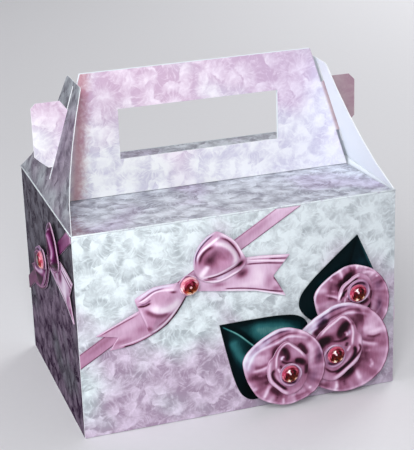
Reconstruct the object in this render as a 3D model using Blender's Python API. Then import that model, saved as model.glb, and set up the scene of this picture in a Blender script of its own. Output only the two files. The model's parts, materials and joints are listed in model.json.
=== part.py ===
"""Gable box of printed card, with a folding gable handle and layered card ornaments.

The box is cut from flat card and folded: four walls, four floor flaps, two roof panels
that meet in the middle, two handle panels that stand up from them, and two gussets that
lean in from the end walls. Ears on the front handle pass out through a slot in each gusset
and hold the box shut. Bows lie on the front and on both end walls, and three roses with
two leaves lie on the front. All lengths are in metres, +Z is up and the front faces -Y.
The origin is the middle of the base.
"""

import math

import bpy
from mathutils import Matrix, Vector
from mathutils.geometry import tessellate_polygon


# Card box
BOX_WIDTH = 0.178
BOX_DEPTH = 0.125
WALL_HEIGHT = 0.114
CARD = 0.0005
SEAT_GAP = 0.0003
GLUE_TAB_WIDTH = 0.012
GLUE_TAB_SLANT = 0.004
GLUE_TAB_DROP = 0.006
BACK_FLAP_DEPTH = 0.075
END_FLAP_LENGTH = 0.060
END_FLAP_SLANT = 0.008

# Roof panels and handle panels
ROOF_SAG = 0.0036
ROOF_SIDE_INSET = 0.0013
HANDLE_HEIGHT = 0.0702
HANDLE_TOP_WIDTH = 0.1306
HANDLE_SPACING = 0.0012
WINDOW_WIDTH = 0.0914
WINDOW_HEIGHT = 0.0281
WINDOW_SILL = 0.0207
BACK_SILL_DROP = 0.0007

# Ears on the ends of the front handle, measured from the handle's crease and the end wall
EAR_FOOT = 0.0213
EAR_ROOT_TOP = 0.0500
EAR_ROOT_NOTCH = 0.0053
EAR_FOOT_REACH = 0.0073
EAR_FOOT_RISE = 0.0040
LEFT_EAR_TOP = 0.0572
LEFT_EAR_OVERHANG = 0.0038
LEFT_EAR_CORNER = 0.0026
RIGHT_EAR_TOP = 0.0533
RIGHT_EAR_OVERHANG = 0.0031
RIGHT_EAR_CORNER = 0.0036

# Gussets that lean in from the end walls
GUSSET_LEAN = math.radians(18.0)
LEFT_GUSSET_LENGTH = 0.0660
RIGHT_GUSSET_LENGTH = 0.0640
GUSSET_TOP_WIDTH = 0.029
GUSSET_TIP_CORNER = 0.0010
GUSSET_FOOT = 0.0004
GUSSET_EDGE_SHARES = ((0.18, 0.735), (0.36, 0.565), (0.56, 0.425), (0.78, 0.315))
SLOT_START = 0.0115
LEFT_SLOT_END = 0.0636
RIGHT_SLOT_END = 0.0606
SLOT_WIDTH = 0.0018
SLOT_SHIFT = 0.0002

# Ribbon bows, seen from the front with the knot at their middle; the inset is from the left edge
KNOT_INSET = 0.0593
KNOT_Z = 0.0797
SIDE_KNOT_OFFSET = 0.006
SIDE_KNOT_Z = 0.0815
RIBBON_WIDTH = 0.0072
RIBBON_RISE = math.radians(30.5)
RIBBON_THICKNESS = 0.0004
BOW_SPAN = 0.100
TAIL_THICKNESS = 0.0005
TAIL_CROWN = 0.0004
LOOP_THICKNESS = 0.0006
LOOP_CROWN = 0.0034
LOOP_TURN = math.radians(35.0)
LOOP_LIP_SHARE = 0.89
LOOP_LOW_SHARE = 0.35
KNOT_RADIUS = 0.0056
KNOT_LIFT = 0.0008
KNOT_THICKNESS = 0.0008

# Roses of layered card, each on a foam pad; insets are from the right edge of the front
ROSE_RIM = 0.0005
ROSE_CROWN = 0.0004
ROSE_PLEAT = 0.0002
PETAL_RIM = 0.0004
PETAL_CROWN = 0.0009
HEART_SIZE = 0.0200
HEART_RIM = 0.0004
HEART_CROWN = 0.0005
ROSE_A_RADIUS = 0.0219
ROSE_B_RADIUS = 0.0272
ROSE_C_RADIUS = 0.0233
ROSE_A_INSET = 0.0259
ROSE_A_Z = 0.0544
ROSE_B_INSET = 0.0332
ROSE_B_Z = 0.0290
ROSE_C_INSET = 0.0688
ROSE_C_Z = 0.0258
ROSE_A_TURN = math.radians(168.0)
ROSE_B_TURN = math.radians(-8.0)
ROSE_C_TURN = 0.0
ROSE_A_GEM_SHARES = (0.085, 0.262)
ROSE_B_GEM_SHARES = (-0.190, -0.060)
ROSE_C_GEM_SHARES = (0.104, -0.136)
ROSE_A_PETAL_SHARE = 0.90
ROSE_B_PETAL_SHARE = 1.05
ROSE_C_PETAL_SHARE = 1.0
RUFFLE_WAVE_SHARE = 0.016
RUFFLE_WAVES = 3
RUFFLE_PLEATS = 9
PAD_SIZE = 0.006
LOW_PAD_THICKNESS = 0.0008
ROSE_B_PAD_DROP = 0.014

# Leaves of card under the roses; insets are from the right edge of the front
LEAF_SPAN = 0.050
LEAF_THICKNESS = 0.0005
LEAF_CROWN = 0.0004
LEAF_TOP_TIP_INSET = 0.0224
LEAF_TOP_TIP_Z = 0.0920
LEAF_TOP_TURN = math.radians(-11.0)
LEAF_TOP_TRIM_SHARE = 0.86
LEAF_LEFT_TIP_INSET = 0.1017
LEAF_LEFT_TIP_Z = 0.0524
LEAF_LEFT_TURN = math.radians(51.3)

# Faceted gems
BOW_GEM_RADIUS = 0.0051
ROSE_GEM_RADIUS = 0.0050
GEM_HEIGHT = 0.0026
GEM_GIRDLE = 0.0006
GEM_FACETS = 12
GEM_TABLE_SHARE = 0.55
GEM_SHOULDER_SHARE = 0.86

# Outlines in shares of the bow's span, from the knot, right and up
RIGHT_LOOP_SHARES = (
    (0.067, 0.014), (0.101, -0.003), (0.152, -0.015), (0.198, -0.008), (0.245, 0.011),
    (0.287, 0.032), (0.312, 0.058), (0.321, 0.081), (0.316, 0.105), (0.295, 0.146),
    (0.266, 0.196), (0.226, 0.233), (0.186, 0.259), (0.162, 0.267), (0.143, 0.260),
    (0.112, 0.245), (0.074, 0.212), (0.047, 0.168), (0.034, 0.119), (0.037, 0.066),
    (0.050, 0.032),
)
RIGHT_LOOP_HUB_SHARES = (0.160, 0.120)
LEFT_LOOP_SHARES = (
    (-0.052, 0.012), (-0.072, 0.015), (-0.106, 0.016), (-0.152, 0.015), (-0.188, 0.011),
    (-0.235, -0.010), (-0.284, -0.036), (-0.288, -0.054), (-0.278, -0.083), (-0.261, -0.128),
    (-0.241, -0.180), (-0.221, -0.239), (-0.192, -0.236), (-0.145, -0.209), (-0.102, -0.173),
    (-0.069, -0.136), (-0.039, -0.094), (-0.022, -0.052),
)
LEFT_LOOP_HUB_SHARES = (-0.165, -0.090)
RIGHT_TAIL_SHARES = (
    (0.040, -0.050), (0.260, -0.086), (0.376, -0.104), (0.546, -0.159), (0.477, -0.033),
    (0.570, 0.074), (0.437, 0.089), (0.300, 0.095), (0.040, 0.015),
)
RIGHT_TAIL_HUB_SHARES = (0.300, -0.010)
LEFT_TAIL_SHARES = (
    (-0.040, 0.008), (-0.266, -0.111), (-0.502, -0.216), (-0.385, -0.240), (-0.432, -0.308),
    (-0.348, -0.302), (-0.306, -0.296), (-0.233, -0.273), (-0.165, -0.242), (-0.116, -0.212),
    (-0.064, -0.158), (-0.029, -0.107), (-0.002, -0.063),
)
LEFT_TAIL_HUB_SHARES = (-0.250, -0.190)

# Rose petals and hearts in shares of their sizes, from the gem's middle, right and up
PETAL_SHARES = (
    (-0.07, 0.80), (-0.22, 0.74), (-0.37, 0.57), (-0.50, 0.36), (-0.55, 0.10), (-0.49, -0.16),
    (-0.33, -0.37), (-0.05, -0.52), (0.26, -0.45), (0.43, -0.20), (0.46, 0.12), (0.37, 0.42),
    (0.16, 0.68),
)
HEART_SHARES = (
    (0.02, 0.31), (-0.17, 0.26), (-0.29, 0.10), (-0.30, -0.09), (-0.20, -0.24), (0.00, -0.31),
    (0.20, -0.25), (0.30, -0.08), (0.29, 0.11), (0.19, 0.25),
)

# One side of a leaf in shares of its span, from its tip: out from the vein and along it
LEAF_SIDE_SHARES = (
    (0.10, 0.12), (0.27, 0.33), (0.43, 0.54), (0.53, 0.73), (0.50, 0.89), (0.30, 1.02),
)
LEAF_END_SHARE = 1.06
LEAF_HUB_SHARE = 0.58

# Relief rings as shares of the way from a hub to its outline
TAIL_RING_SHARES = (0.5, 1.0)
LOOP_RING_SHARES = (0.35, 0.65, 0.88, 1.0)
KNOT_RING_SHARES = (0.8, 1.0)
RUFFLE_RING_SHARES = (0.35, 0.62, 0.80, 0.92, 1.0)
RUFFLE_RIM_SHARE = 0.20
PETAL_RING_SHARES = (0.40, 0.74, 0.87, 1.0)
HEART_RING_SHARES = (0.84, 0.92, 1.0)
LEAF_RING_SHARES = (0.4, 0.75, 1.0)

# Curve and mesh steps
KNOT_STEPS = 20
ROSE_STEPS = 48
PETAL_STEPS = 36
HEART_STEPS = 24
LOOP_STEPS = 34
LEAF_EDGE_STEPS = 2
TAIL_EDGE_STEPS = 3

# Hinge lines worked out from the sizes above
HALF_WIDTH = BOX_WIDTH / 2
HALF_DEPTH = BOX_DEPTH / 2
HALF_CARD = CARD / 2
ROOF_AXIS_Y = HALF_DEPTH - HALF_CARD
ROOF_AXIS_Z = WALL_HEIGHT - HALF_CARD
HANDLE_AXIS_Y = HANDLE_SPACING / 2 + HALF_CARD
HANDLE_AXIS_Z = ROOF_AXIS_Z - ROOF_SAG
ROOF_SLOPE = math.atan2(ROOF_SAG, ROOF_AXIS_Y - HANDLE_AXIS_Y)
ROOF_LENGTH = math.hypot(ROOF_SAG, ROOF_AXIS_Y - HANDLE_AXIS_Y)
GUSSET_AXIS_X = HALF_WIDTH + SEAT_GAP / 2
GUSSET_AXIS_Z = WALL_HEIGHT
INNER_HALF_WIDTH = HALF_WIDTH - CARD - SEAT_GAP
INNER_HALF_DEPTH = HALF_DEPTH - CARD - SEAT_GAP
CREASE_HALF_WIDTH = HALF_WIDTH - ROOF_SIDE_INSET
FLOOR_STEP = CARD + SEAT_GAP
WALL_TOP = WALL_HEIGHT - CARD - SEAT_GAP

# Levels of the layered roses, out from the front wall
LEAF_TOP_LEVEL = SEAT_GAP + LEAF_THICKNESS + LEAF_CROWN
PETAL_LEVEL = ROSE_RIM + ROSE_CROWN + ROSE_PLEAT + SEAT_GAP
HEART_LEVEL = PETAL_LEVEL + PETAL_RIM + SEAT_GAP
GEM_LEVEL = HEART_LEVEL + HEART_RIM + SEAT_GAP
ROSE_LEVEL_STEP = HEART_LEVEL + HEART_RIM + HEART_CROWN + SEAT_GAP
ROSE_A_LEVEL = LEAF_TOP_LEVEL + SEAT_GAP + LOW_PAD_THICKNESS + SEAT_GAP
ROSE_B_LEVEL = ROSE_A_LEVEL + ROSE_LEVEL_STEP
ROSE_C_LEVEL = ROSE_B_LEVEL + ROSE_LEVEL_STEP


def clear_scene():
    """Remove every object of the scene, so that the model stands alone."""
    for thing in list(bpy.data.objects):
        bpy.data.objects.remove(thing, do_unlink=True)


def make_material(name, colour, roughness, metallic=0.0):
    """Return a Principled material of one colour."""
    material = bpy.data.materials.new(name)
    material.use_nodes = True
    shader = material.node_tree.nodes["Principled BSDF"]
    shader.inputs["Base Color"].default_value = (*colour, 1.0)
    shader.inputs["Roughness"].default_value = roughness
    shader.inputs["Metallic"].default_value = metallic
    return material


def make_object(name, points, faces, material, origin=(0.0, 0.0, 0.0), parent=None):
    """Make one mesh object from world points, with its origin on the given point."""
    mesh = bpy.data.meshes.new(name)
    mesh.from_pydata([tuple(point) for point in points], [], faces)
    mesh.transform(Matrix.Translation(-Vector(origin)))
    mesh.materials.append(material)
    mesh.update()
    piece = bpy.data.objects.new(name, mesh)
    bpy.context.scene.collection.objects.link(piece)
    piece.location = origin
    if parent is not None:
        piece.parent = parent
        piece.matrix_parent_inverse = Matrix.Translation(-parent.location)
    return piece


def front_place(right, up, out):
    """Place a point on the front wall: right, up and out of its outer face."""
    return Vector((right, -HALF_DEPTH - out, up))


def back_place(right, up, out):
    """Place a point on the back wall, seen from behind."""
    return Vector((-right, HALF_DEPTH + out, up))


def left_place(right, up, out):
    """Place a point on the left end wall, seen from outside."""
    return Vector((-HALF_WIDTH - out, -right, up))


def right_place(right, up, out):
    """Place a point on the right end wall, seen from outside."""
    return Vector((HALF_WIDTH + out, right, up))


def roof_place(side):
    """Return the placing function of a roof panel: across, in from its hinge, out of its face."""
    def place(across, inward, out):
        depth = inward * math.cos(ROOF_SLOPE) + out * math.sin(ROOF_SLOPE)
        height = out * math.cos(ROOF_SLOPE) - inward * math.sin(ROOF_SLOPE)
        return Vector((-side * across, side * (ROOF_AXIS_Y - depth), ROOF_AXIS_Z + height))
    return place


def handle_place(side):
    """Return the placing function of a handle panel: across, up from its crease, out."""
    def place(across, up, out):
        return Vector((-side * across, side * (HANDLE_AXIS_Y + out), HANDLE_AXIS_Z + up))
    return place


def gusset_place(side):
    """Return the placing function of a gusset: across, up along it, out from its outer face."""
    def place(across, along, out):
        leaning = along * math.sin(GUSSET_LEAN) - (out - SEAT_GAP / 2) * math.cos(GUSSET_LEAN)
        height = along * math.cos(GUSSET_LEAN) + (out - SEAT_GAP / 2) * math.sin(GUSSET_LEAN)
        return Vector((side * (GUSSET_AXIS_X - leaning), side * across, GUSSET_AXIS_Z + height))
    return place


def make_sheet(name, loops, place, low, high, material, origin=(0.0, 0.0, 0.0), parent=None):
    """Make flat card from an outline and its holes, both counter-clockwise from outside."""
    flat = [Vector((right, up, 0.0)) for loop in loops for right, up in loop]
    count = len(flat)
    triangles = tessellate_polygon([[Vector((right, up, 0.0)) for right, up in loop] for loop in loops])
    faces = []
    for first, second, third in triangles:
        turn = (flat[second] - flat[first]).cross(flat[third] - flat[first]).z
        if turn < 0:
            second, third = third, second
        faces.append((first, second, third))
        faces.append((third + count, second + count, first + count))
    start = 0
    for index, loop in enumerate(loops):
        size = len(loop)
        for step in range(size):
            here = start + step
            after = start + (step + 1) % size
            if index > 0:
                here, after = after, here
            faces.append((here, here + count, after + count, after))
        start += size
    points = [place(point.x, point.y, high) for point in flat]
    points += [place(point.x, point.y, low) for point in flat]
    return make_object(name, points, faces, material, origin, parent)


def smooth_loop(corners, steps):
    """Return points evenly stepped along a closed smooth curve through the corners."""
    size = len(corners)
    loop = []
    for step in range(steps):
        place = step * size / steps
        index = int(place)
        share = place - index
        near = [Vector(corners[(index + shift) % size]) for shift in (-1, 0, 1, 2)]
        line = near[1] * 2
        slope = (near[2] - near[0]) * share
        bend = (near[0] * 2 - near[1] * 5 + near[2] * 4 - near[3]) * share ** 2
        twist = (near[1] * 3 - near[0] - near[2] * 3 + near[3]) * share ** 3
        loop.append((line + slope + bend + twist) / 2)
    return loop


def straight_loop(corners, steps):
    """Return the corners with each straight edge between them cut into equal steps."""
    size = len(corners)
    loop = []
    for index in range(size):
        here = Vector(corners[index])
        after = Vector(corners[(index + 1) % size])
        loop += [here.lerp(after, step / steps) for step in range(steps)]
    return loop


def scaled(shares, size):
    """Return an outline given in shares as lengths."""
    return [(right * size, up * size) for right, up in shares]


def mirrored(shares):
    """Return an outline flipped left to right, still counter-clockwise."""
    return [(-right, up) for right, up in reversed(shares)]


def turned(corners, angle, right, up):
    """Turn an outline about its origin and move it to a place."""
    cosine = math.cos(angle)
    sine = math.sin(angle)
    return [(right + x * cosine - y * sine, up + x * sine + y * cosine) for x, y in corners]


def make_relief(name, loop, hub, rings, height_at, place, back, material):
    """Make a flat-backed relief: rings between a hub and an outline, raised by a formula.

    height_at takes the share of the way from hub to outline and the angle about the hub.
    """
    hub = Vector(hub)
    count = len(loop)
    points = [place(hub.x, hub.y, back + height_at(0.0, 0.0))]
    for share in rings:
        for corner in loop:
            spot = hub.lerp(corner, share)
            angle = math.atan2(corner.y - hub.y, corner.x - hub.x)
            points.append(place(spot.x, spot.y, back + height_at(share, angle)))
    points += [place(corner.x, corner.y, back) for corner in loop]
    points.append(place(hub.x, hub.y, back))
    last = len(points) - 1
    faces = []
    for step in range(count):
        after = (step + 1) % count
        faces.append((0, 1 + step, 1 + after))
        for ring in range(len(rings)):
            inner = 1 + ring * count
            outer = inner + count
            faces.append((inner + step, outer + step, outer + after, inner + after))
        faces.append((last, last - count + after, last - count + step))
    return make_object(name, points, faces, material)


def make_gem(name, right, up, base, radius, place, material):
    """Make a round flat-backed gem: girdle, shoulder and table, each a ring of facets."""
    rings = (
        (1.0, 0.0), (1.0, GEM_GIRDLE),
        (GEM_SHOULDER_SHARE, GEM_GIRDLE + (GEM_HEIGHT - GEM_GIRDLE) / 2),
        (GEM_TABLE_SHARE, GEM_HEIGHT),
    )
    points = []
    for ring, (share, height) in enumerate(rings):
        half_turn = (ring // 2) / 2
        for step in range(GEM_FACETS):
            angle = (step + half_turn) * math.tau / GEM_FACETS
            across = right + radius * share * math.cos(angle)
            rise = up + radius * share * math.sin(angle)
            points.append(place(across, rise, base + height))
    faces = [tuple(reversed(range(GEM_FACETS)))]
    for ring in range(len(rings) - 1):
        for step in range(GEM_FACETS):
            here = ring * GEM_FACETS + step
            after = ring * GEM_FACETS + (step + 1) % GEM_FACETS
            faces.append((here, after, after + GEM_FACETS, here + GEM_FACETS))
    top = (len(rings) - 1) * GEM_FACETS
    faces.append(tuple(top + step for step in range(GEM_FACETS)))
    return make_object(name, points, faces, material)


def box_loop(left, right, low, high):
    """Return a rectangle's corners, counter-clockwise."""
    return [(left, low), (right, low), (right, high), (left, high)]


def build_walls(card):
    """Make the four walls and the glue tabs of the end walls."""
    full = box_loop(-HALF_WIDTH, HALF_WIDTH, 0.0, WALL_TOP)
    make_sheet("front_wall", [full], front_place, -CARD, 0.0, card)
    make_sheet("back_wall", [full], back_place, -CARD, 0.0, card)
    end_top = GUSSET_AXIS_Z - SEAT_GAP / 2
    end = box_loop(-INNER_HALF_DEPTH, INNER_HALF_DEPTH, 0.0, end_top)
    make_sheet("left_wall", [end], left_place, -CARD, 0.0, card)
    make_sheet("right_wall", [end], right_place, -CARD, 0.0, card)

    tab_low = 3 * FLOOR_STEP
    tab_high = WALL_TOP - GLUE_TAB_DROP
    tab_end = INNER_HALF_WIDTH - GLUE_TAB_WIDTH
    near = [
        (-INNER_HALF_WIDTH, tab_low), (-tab_end, tab_low + GLUE_TAB_SLANT),
        (-tab_end, tab_high - GLUE_TAB_SLANT), (-INNER_HALF_WIDTH, tab_high),
    ]
    far = mirrored(near)
    outer = -CARD - SEAT_GAP
    inner = outer - CARD
    make_sheet("left_front_glue_tab", [near], front_place, inner, outer, card)
    make_sheet("left_back_glue_tab", [far], back_place, inner, outer, card)
    make_sheet("right_front_glue_tab", [far], front_place, inner, outer, card)
    make_sheet("right_back_glue_tab", [near], back_place, inner, outer, card)


def floor_place(across, inward, up):
    """Place a point of the floor: across, back and up."""
    return Vector((across, inward, up))


def build_floor(card):
    """Make the four floor flaps, glued one over the other."""
    whole = box_loop(-INNER_HALF_WIDTH, INNER_HALF_WIDTH, -INNER_HALF_DEPTH, INNER_HALF_DEPTH)
    make_sheet("front_floor_flap", [whole], floor_place, 0.0, CARD, card)
    back_edge = INNER_HALF_DEPTH - BACK_FLAP_DEPTH
    back = box_loop(-INNER_HALF_WIDTH, INNER_HALF_WIDTH, back_edge, INNER_HALF_DEPTH)
    make_sheet("back_floor_flap", [back], floor_place, FLOOR_STEP, FLOOR_STEP + CARD, card)
    tip = INNER_HALF_WIDTH - END_FLAP_LENGTH
    right = [
        (tip, -INNER_HALF_DEPTH + END_FLAP_SLANT), (INNER_HALF_WIDTH, -INNER_HALF_DEPTH),
        (INNER_HALF_WIDTH, INNER_HALF_DEPTH), (tip, INNER_HALF_DEPTH - END_FLAP_SLANT),
    ]
    left = [(-across, inward) for across, inward in reversed(right)]
    low = 2 * FLOOR_STEP
    make_sheet("right_floor_flap", [right], floor_place, low, low + CARD, card)
    make_sheet("left_floor_flap", [left], floor_place, low, low + CARD, card)


def ear_outline(edge_at, top, overhang, corner):
    """Return an ear's corners from its foot to its root top, as it lies on the right end."""
    tip = HALF_WIDTH + overhang
    top_start = edge_at(EAR_ROOT_TOP) + EAR_ROOT_NOTCH
    return [
        (edge_at(EAR_FOOT), EAR_FOOT),
        (tip - EAR_FOOT_REACH, EAR_FOOT),
        (tip - corner, EAR_FOOT + EAR_FOOT_RISE),
        (tip, EAR_FOOT + EAR_FOOT_RISE + corner),
        (tip, top - corner),
        (tip - corner, top),
        (top_start, top),
        (edge_at(EAR_ROOT_TOP), EAR_ROOT_TOP),
    ]


def build_roof(card):
    """Make the roof panels and the handle panels that stand up from them."""
    strip = HALF_CARD
    roof = [
        (-CREASE_HALF_WIDTH, ROOF_LENGTH + HALF_CARD), (-CREASE_HALF_WIDTH, strip),
        (-HALF_WIDTH, strip), (-HALF_WIDTH, -HALF_CARD),
        (HALF_WIDTH, -HALF_CARD), (HALF_WIDTH, strip),
        (CREASE_HALF_WIDTH, strip), (CREASE_HALF_WIDTH, ROOF_LENGTH + HALF_CARD),
    ]
    taper = (CREASE_HALF_WIDTH - HANDLE_TOP_WIDTH / 2) / HANDLE_HEIGHT

    def edge_at(up):
        return CREASE_HALF_WIDTH - taper * up

    foot = HALF_CARD + SEAT_GAP
    low_end = (edge_at(foot), foot)
    high_end = (edge_at(HANDLE_HEIGHT), HANDLE_HEIGHT)
    left_ear = ear_outline(edge_at, LEFT_EAR_TOP, LEFT_EAR_OVERHANG, LEFT_EAR_CORNER)
    right_ear = ear_outline(edge_at, RIGHT_EAR_TOP, RIGHT_EAR_OVERHANG, RIGHT_EAR_CORNER)
    for side, word, left_part, right_part, drop in (
            (-1, "front", left_ear, right_ear, 0.0),
            (1, "back", [], [], BACK_SILL_DROP)):
        hinge = (0.0, side * ROOF_AXIS_Y, ROOF_AXIS_Z)
        panel = make_sheet(word + "_roof", [roof], roof_place(side), -HALF_CARD, HALF_CARD, card, hinge)
        outline = [low_end, *right_part, high_end] + mirrored([low_end, *left_part, high_end])
        sill = WINDOW_SILL - drop
        head = WINDOW_SILL + WINDOW_HEIGHT
        window = box_loop(-WINDOW_WIDTH / 2, WINDOW_WIDTH / 2, sill, head)
        crease = (0.0, side * HANDLE_AXIS_Y, HANDLE_AXIS_Z)
        make_sheet(
            word + "_handle", [outline, window], handle_place(side), -HALF_CARD, HALF_CARD, card,
            crease, panel)


def build_gussets(card):
    """Make the slotted gussets that lean in over the ends of the roof."""
    base = INNER_HALF_DEPTH
    half_top = GUSSET_TOP_WIDTH / 2
    for side, word, length, slot_end in (
            (-1, "left", LEFT_GUSSET_LENGTH, LEFT_SLOT_END),
            (1, "right", RIGHT_GUSSET_LENGTH, RIGHT_SLOT_END)):
        shoulder = length - GUSSET_TIP_CORNER
        edge = [(base, GUSSET_FOOT)]
        edge += [(base * wide, length * along) for along, wide in GUSSET_EDGE_SHARES]
        edge += [(half_top + GUSSET_TIP_CORNER / 2, shoulder), (half_top - GUSSET_TIP_CORNER, length)]
        outline = edge + mirrored(edge)
        middle = -side * (HANDLE_AXIS_Y + SLOT_SHIFT)
        slot = box_loop(middle - SLOT_WIDTH / 2, middle + SLOT_WIDTH / 2, SLOT_START, slot_end)
        hinge = (side * GUSSET_AXIS_X, 0.0, GUSSET_AXIS_Z)
        make_sheet(word + "_gusset", [outline, slot], gusset_place(side), -CARD, 0.0, card, hinge)


def soft_edge(rim, crown):
    """Return a height formula that rises softly from the rim to the crown at the hub."""
    def height_at(share, angle):
        return rim + crown * (1.0 - share ** 2)
    return height_at


def right_loop_height(share, angle):
    """Height of the right loop: high along its outer turn, sunk where its inside shows."""
    ridge = math.sin(math.pi * min(1.0, share / LOOP_LIP_SHARE)) ** 2
    fullness = (1.0 + math.cos(angle - LOOP_TURN)) / 2
    return LOOP_THICKNESS + LOOP_CROWN * ridge * (LOOP_LOW_SHARE + (1.0 - LOOP_LOW_SHARE) * fullness)


def left_loop_height(share, angle):
    """Height of the left loop: one soft swell along its length."""
    across = abs(math.sin(angle - LOOP_TURN))
    return LOOP_THICKNESS + LOOP_CROWN * (1.0 - share ** 2) * (1.0 - LOOP_LOW_SHARE * across)


def build_bow(word, place, knot_right, knot_up, left_end, right_end, top, satin, gem):
    """Make one bow on a wall: ribbon, tails, two loops, knot and gem."""
    slope = math.tan(RIBBON_RISE)
    half_height = RIBBON_WIDTH / 2 / math.cos(RIBBON_RISE)

    def ribbon_at(right, side):
        return knot_up + (right - knot_right) * slope + side * half_height

    def ribbon_reach(side):
        return knot_right + (top - knot_up - side * half_height) / slope

    ribbon = [(left_end, ribbon_at(left_end, -1)), (left_end, ribbon_at(left_end, 1))]
    if ribbon_reach(-1) < right_end:
        ribbon += [(ribbon_reach(1), top), (ribbon_reach(-1), top)]
    else:
        upper = min(ribbon_reach(1), right_end)
        ribbon += [(upper, top), (right_end, top), (right_end, ribbon_at(right_end, -1))]
    ribbon.reverse()
    make_sheet(word + "_ribbon", [ribbon], place, SEAT_GAP, SEAT_GAP + RIBBON_THICKNESS, satin)

    def around_knot(shares):
        return turned(scaled(shares, BOW_SPAN), 0.0, knot_right, knot_up)

    tail_back = 2 * SEAT_GAP + RIBBON_THICKNESS
    for side, shares, hub in (
            ("right", RIGHT_TAIL_SHARES, RIGHT_TAIL_HUB_SHARES),
            ("left", LEFT_TAIL_SHARES, LEFT_TAIL_HUB_SHARES)):
        loop = straight_loop(around_knot(shares), TAIL_EDGE_STEPS)
        make_relief(
            f"{word}_bow_{side}_tail", loop, around_knot([hub])[0], TAIL_RING_SHARES,
            soft_edge(TAIL_THICKNESS, TAIL_CROWN), place, tail_back, satin)
    loop_back = tail_back + TAIL_THICKNESS + TAIL_CROWN + SEAT_GAP
    make_relief(
        f"{word}_bow_right_loop", smooth_loop(around_knot(RIGHT_LOOP_SHARES), LOOP_STEPS),
        around_knot([RIGHT_LOOP_HUB_SHARES])[0], LOOP_RING_SHARES, right_loop_height, place,
        loop_back, satin)
    make_relief(
        f"{word}_bow_left_loop", smooth_loop(around_knot(LEFT_LOOP_SHARES), LOOP_STEPS),
        around_knot([LEFT_LOOP_HUB_SHARES])[0], LOOP_RING_SHARES, left_loop_height, place,
        loop_back, satin)
    knot_back = loop_back + LOOP_THICKNESS + KNOT_LIFT + SEAT_GAP
    turns = [step * math.tau / KNOT_STEPS for step in range(KNOT_STEPS)]
    knot = [(KNOT_RADIUS * math.cos(turn), KNOT_RADIUS * math.sin(turn)) for turn in turns]
    knot_loop = [Vector(corner) for corner in turned(knot, 0.0, knot_right, knot_up)]
    make_relief(
        word + "_bow_knot", knot_loop, (knot_right, knot_up), KNOT_RING_SHARES,
        soft_edge(KNOT_THICKNESS, 0.0), place, knot_back, satin)
    gem_base = knot_back + KNOT_THICKNESS + SEAT_GAP
    make_gem(word + "_bow_gem", knot_right, knot_up, gem_base, BOW_GEM_RADIUS, place, gem)


def ruffle_height(share, angle):
    """Height of a rose's outer ruffle: pleats that deepen towards a thin rim."""
    swell = ROSE_CROWN * min(1.0, (1.0 - share) / RUFFLE_RIM_SHARE)
    pleat = ROSE_PLEAT * math.cos(RUFFLE_PLEATS * angle) * share
    return ROSE_RIM + swell + max(pleat, -ROSE_PLEAT / 2)


def rim_ridge(share, start_share):
    """Return the rise of a soft ridge that runs from a starting share out to the rim."""
    along = max(0.0, (share - start_share) / (1.0 - start_share))
    return math.sin(math.pi * along) ** 2


def petal_height(share, angle):
    """Height of the inner petals: a flat seat inside a ridge that runs near the rim."""
    return PETAL_RIM + PETAL_CROWN * rim_ridge(share, PETAL_RING_SHARES[1])


def heart_height(share, angle):
    """Height of the heart: a small cup round the gem."""
    return HEART_RIM + HEART_CROWN * rim_ridge(share, HEART_RING_SHARES[0])


def build_pad(name, right, up, size, low, high, place, foam):
    """Make one square foam pad between two faces."""
    pad = box_loop(right - size / 2, right + size / 2, up - size / 2, up + size / 2)
    make_sheet(name, [pad], place, low, high, foam)


def build_rose(word, right, up, radius, level, turn, flipped, petal_share, gem_shares, satin, gem):
    """Make one rose: outer ruffle, inner petals, heart and gem, each over the last."""
    petal_shares = mirrored(PETAL_SHARES) if flipped else PETAL_SHARES
    heart_shares = mirrored(HEART_SHARES) if flipped else HEART_SHARES
    petal_size = radius * petal_share
    gem_right = right + gem_shares[0] * radius
    gem_up = up + gem_shares[1] * radius
    rim = []
    for step in range(ROSE_STEPS):
        angle = step * math.tau / ROSE_STEPS
        reach = radius * (1.0 + RUFFLE_WAVE_SHARE * math.cos(RUFFLE_WAVES * (angle - turn)))
        rim.append(Vector((right + reach * math.cos(angle), up + reach * math.sin(angle))))
    make_relief(
        word + "_ruffle", rim, (gem_right, gem_up), RUFFLE_RING_SHARES, ruffle_height, front_place,
        level, satin)
    petals = turned(scaled(petal_shares, petal_size), turn, gem_right, gem_up)
    make_relief(
        word + "_petals", smooth_loop(petals, PETAL_STEPS), (gem_right, gem_up), PETAL_RING_SHARES,
        petal_height, front_place, level + PETAL_LEVEL, satin)
    heart = turned(scaled(heart_shares, HEART_SIZE), turn, gem_right, gem_up)
    make_relief(
        word + "_heart", smooth_loop(heart, HEART_STEPS), (gem_right, gem_up), HEART_RING_SHARES,
        heart_height, front_place, level + HEART_LEVEL, satin)
    make_gem(word + "_gem", gem_right, gem_up, level + GEM_LEVEL, ROSE_GEM_RADIUS, front_place, gem)


def build_leaf(name, tip_right, tip_up, turn, trim_share, leaf):
    """Make one leaf from its tip; trim_share narrows the side that lies to the right."""
    left = [(-out * LEAF_SPAN, -along * LEAF_SPAN) for out, along in LEAF_SIDE_SHARES]
    right = [(-out * trim_share, along) for out, along in reversed(left)]
    corners = [(0.0, 0.0), *left, (0.0, -LEAF_END_SHARE * LEAF_SPAN), *right]
    outline = turned(corners, turn, tip_right, tip_up)
    hub = turned([(0.0, -LEAF_HUB_SHARE * LEAF_SPAN)], turn, tip_right, tip_up)[0]
    make_relief(
        name, straight_loop(outline, LEAF_EDGE_STEPS), hub, LEAF_RING_SHARES,
        soft_edge(LEAF_THICKNESS, LEAF_CROWN), front_place, SEAT_GAP, leaf)
    return hub


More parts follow.
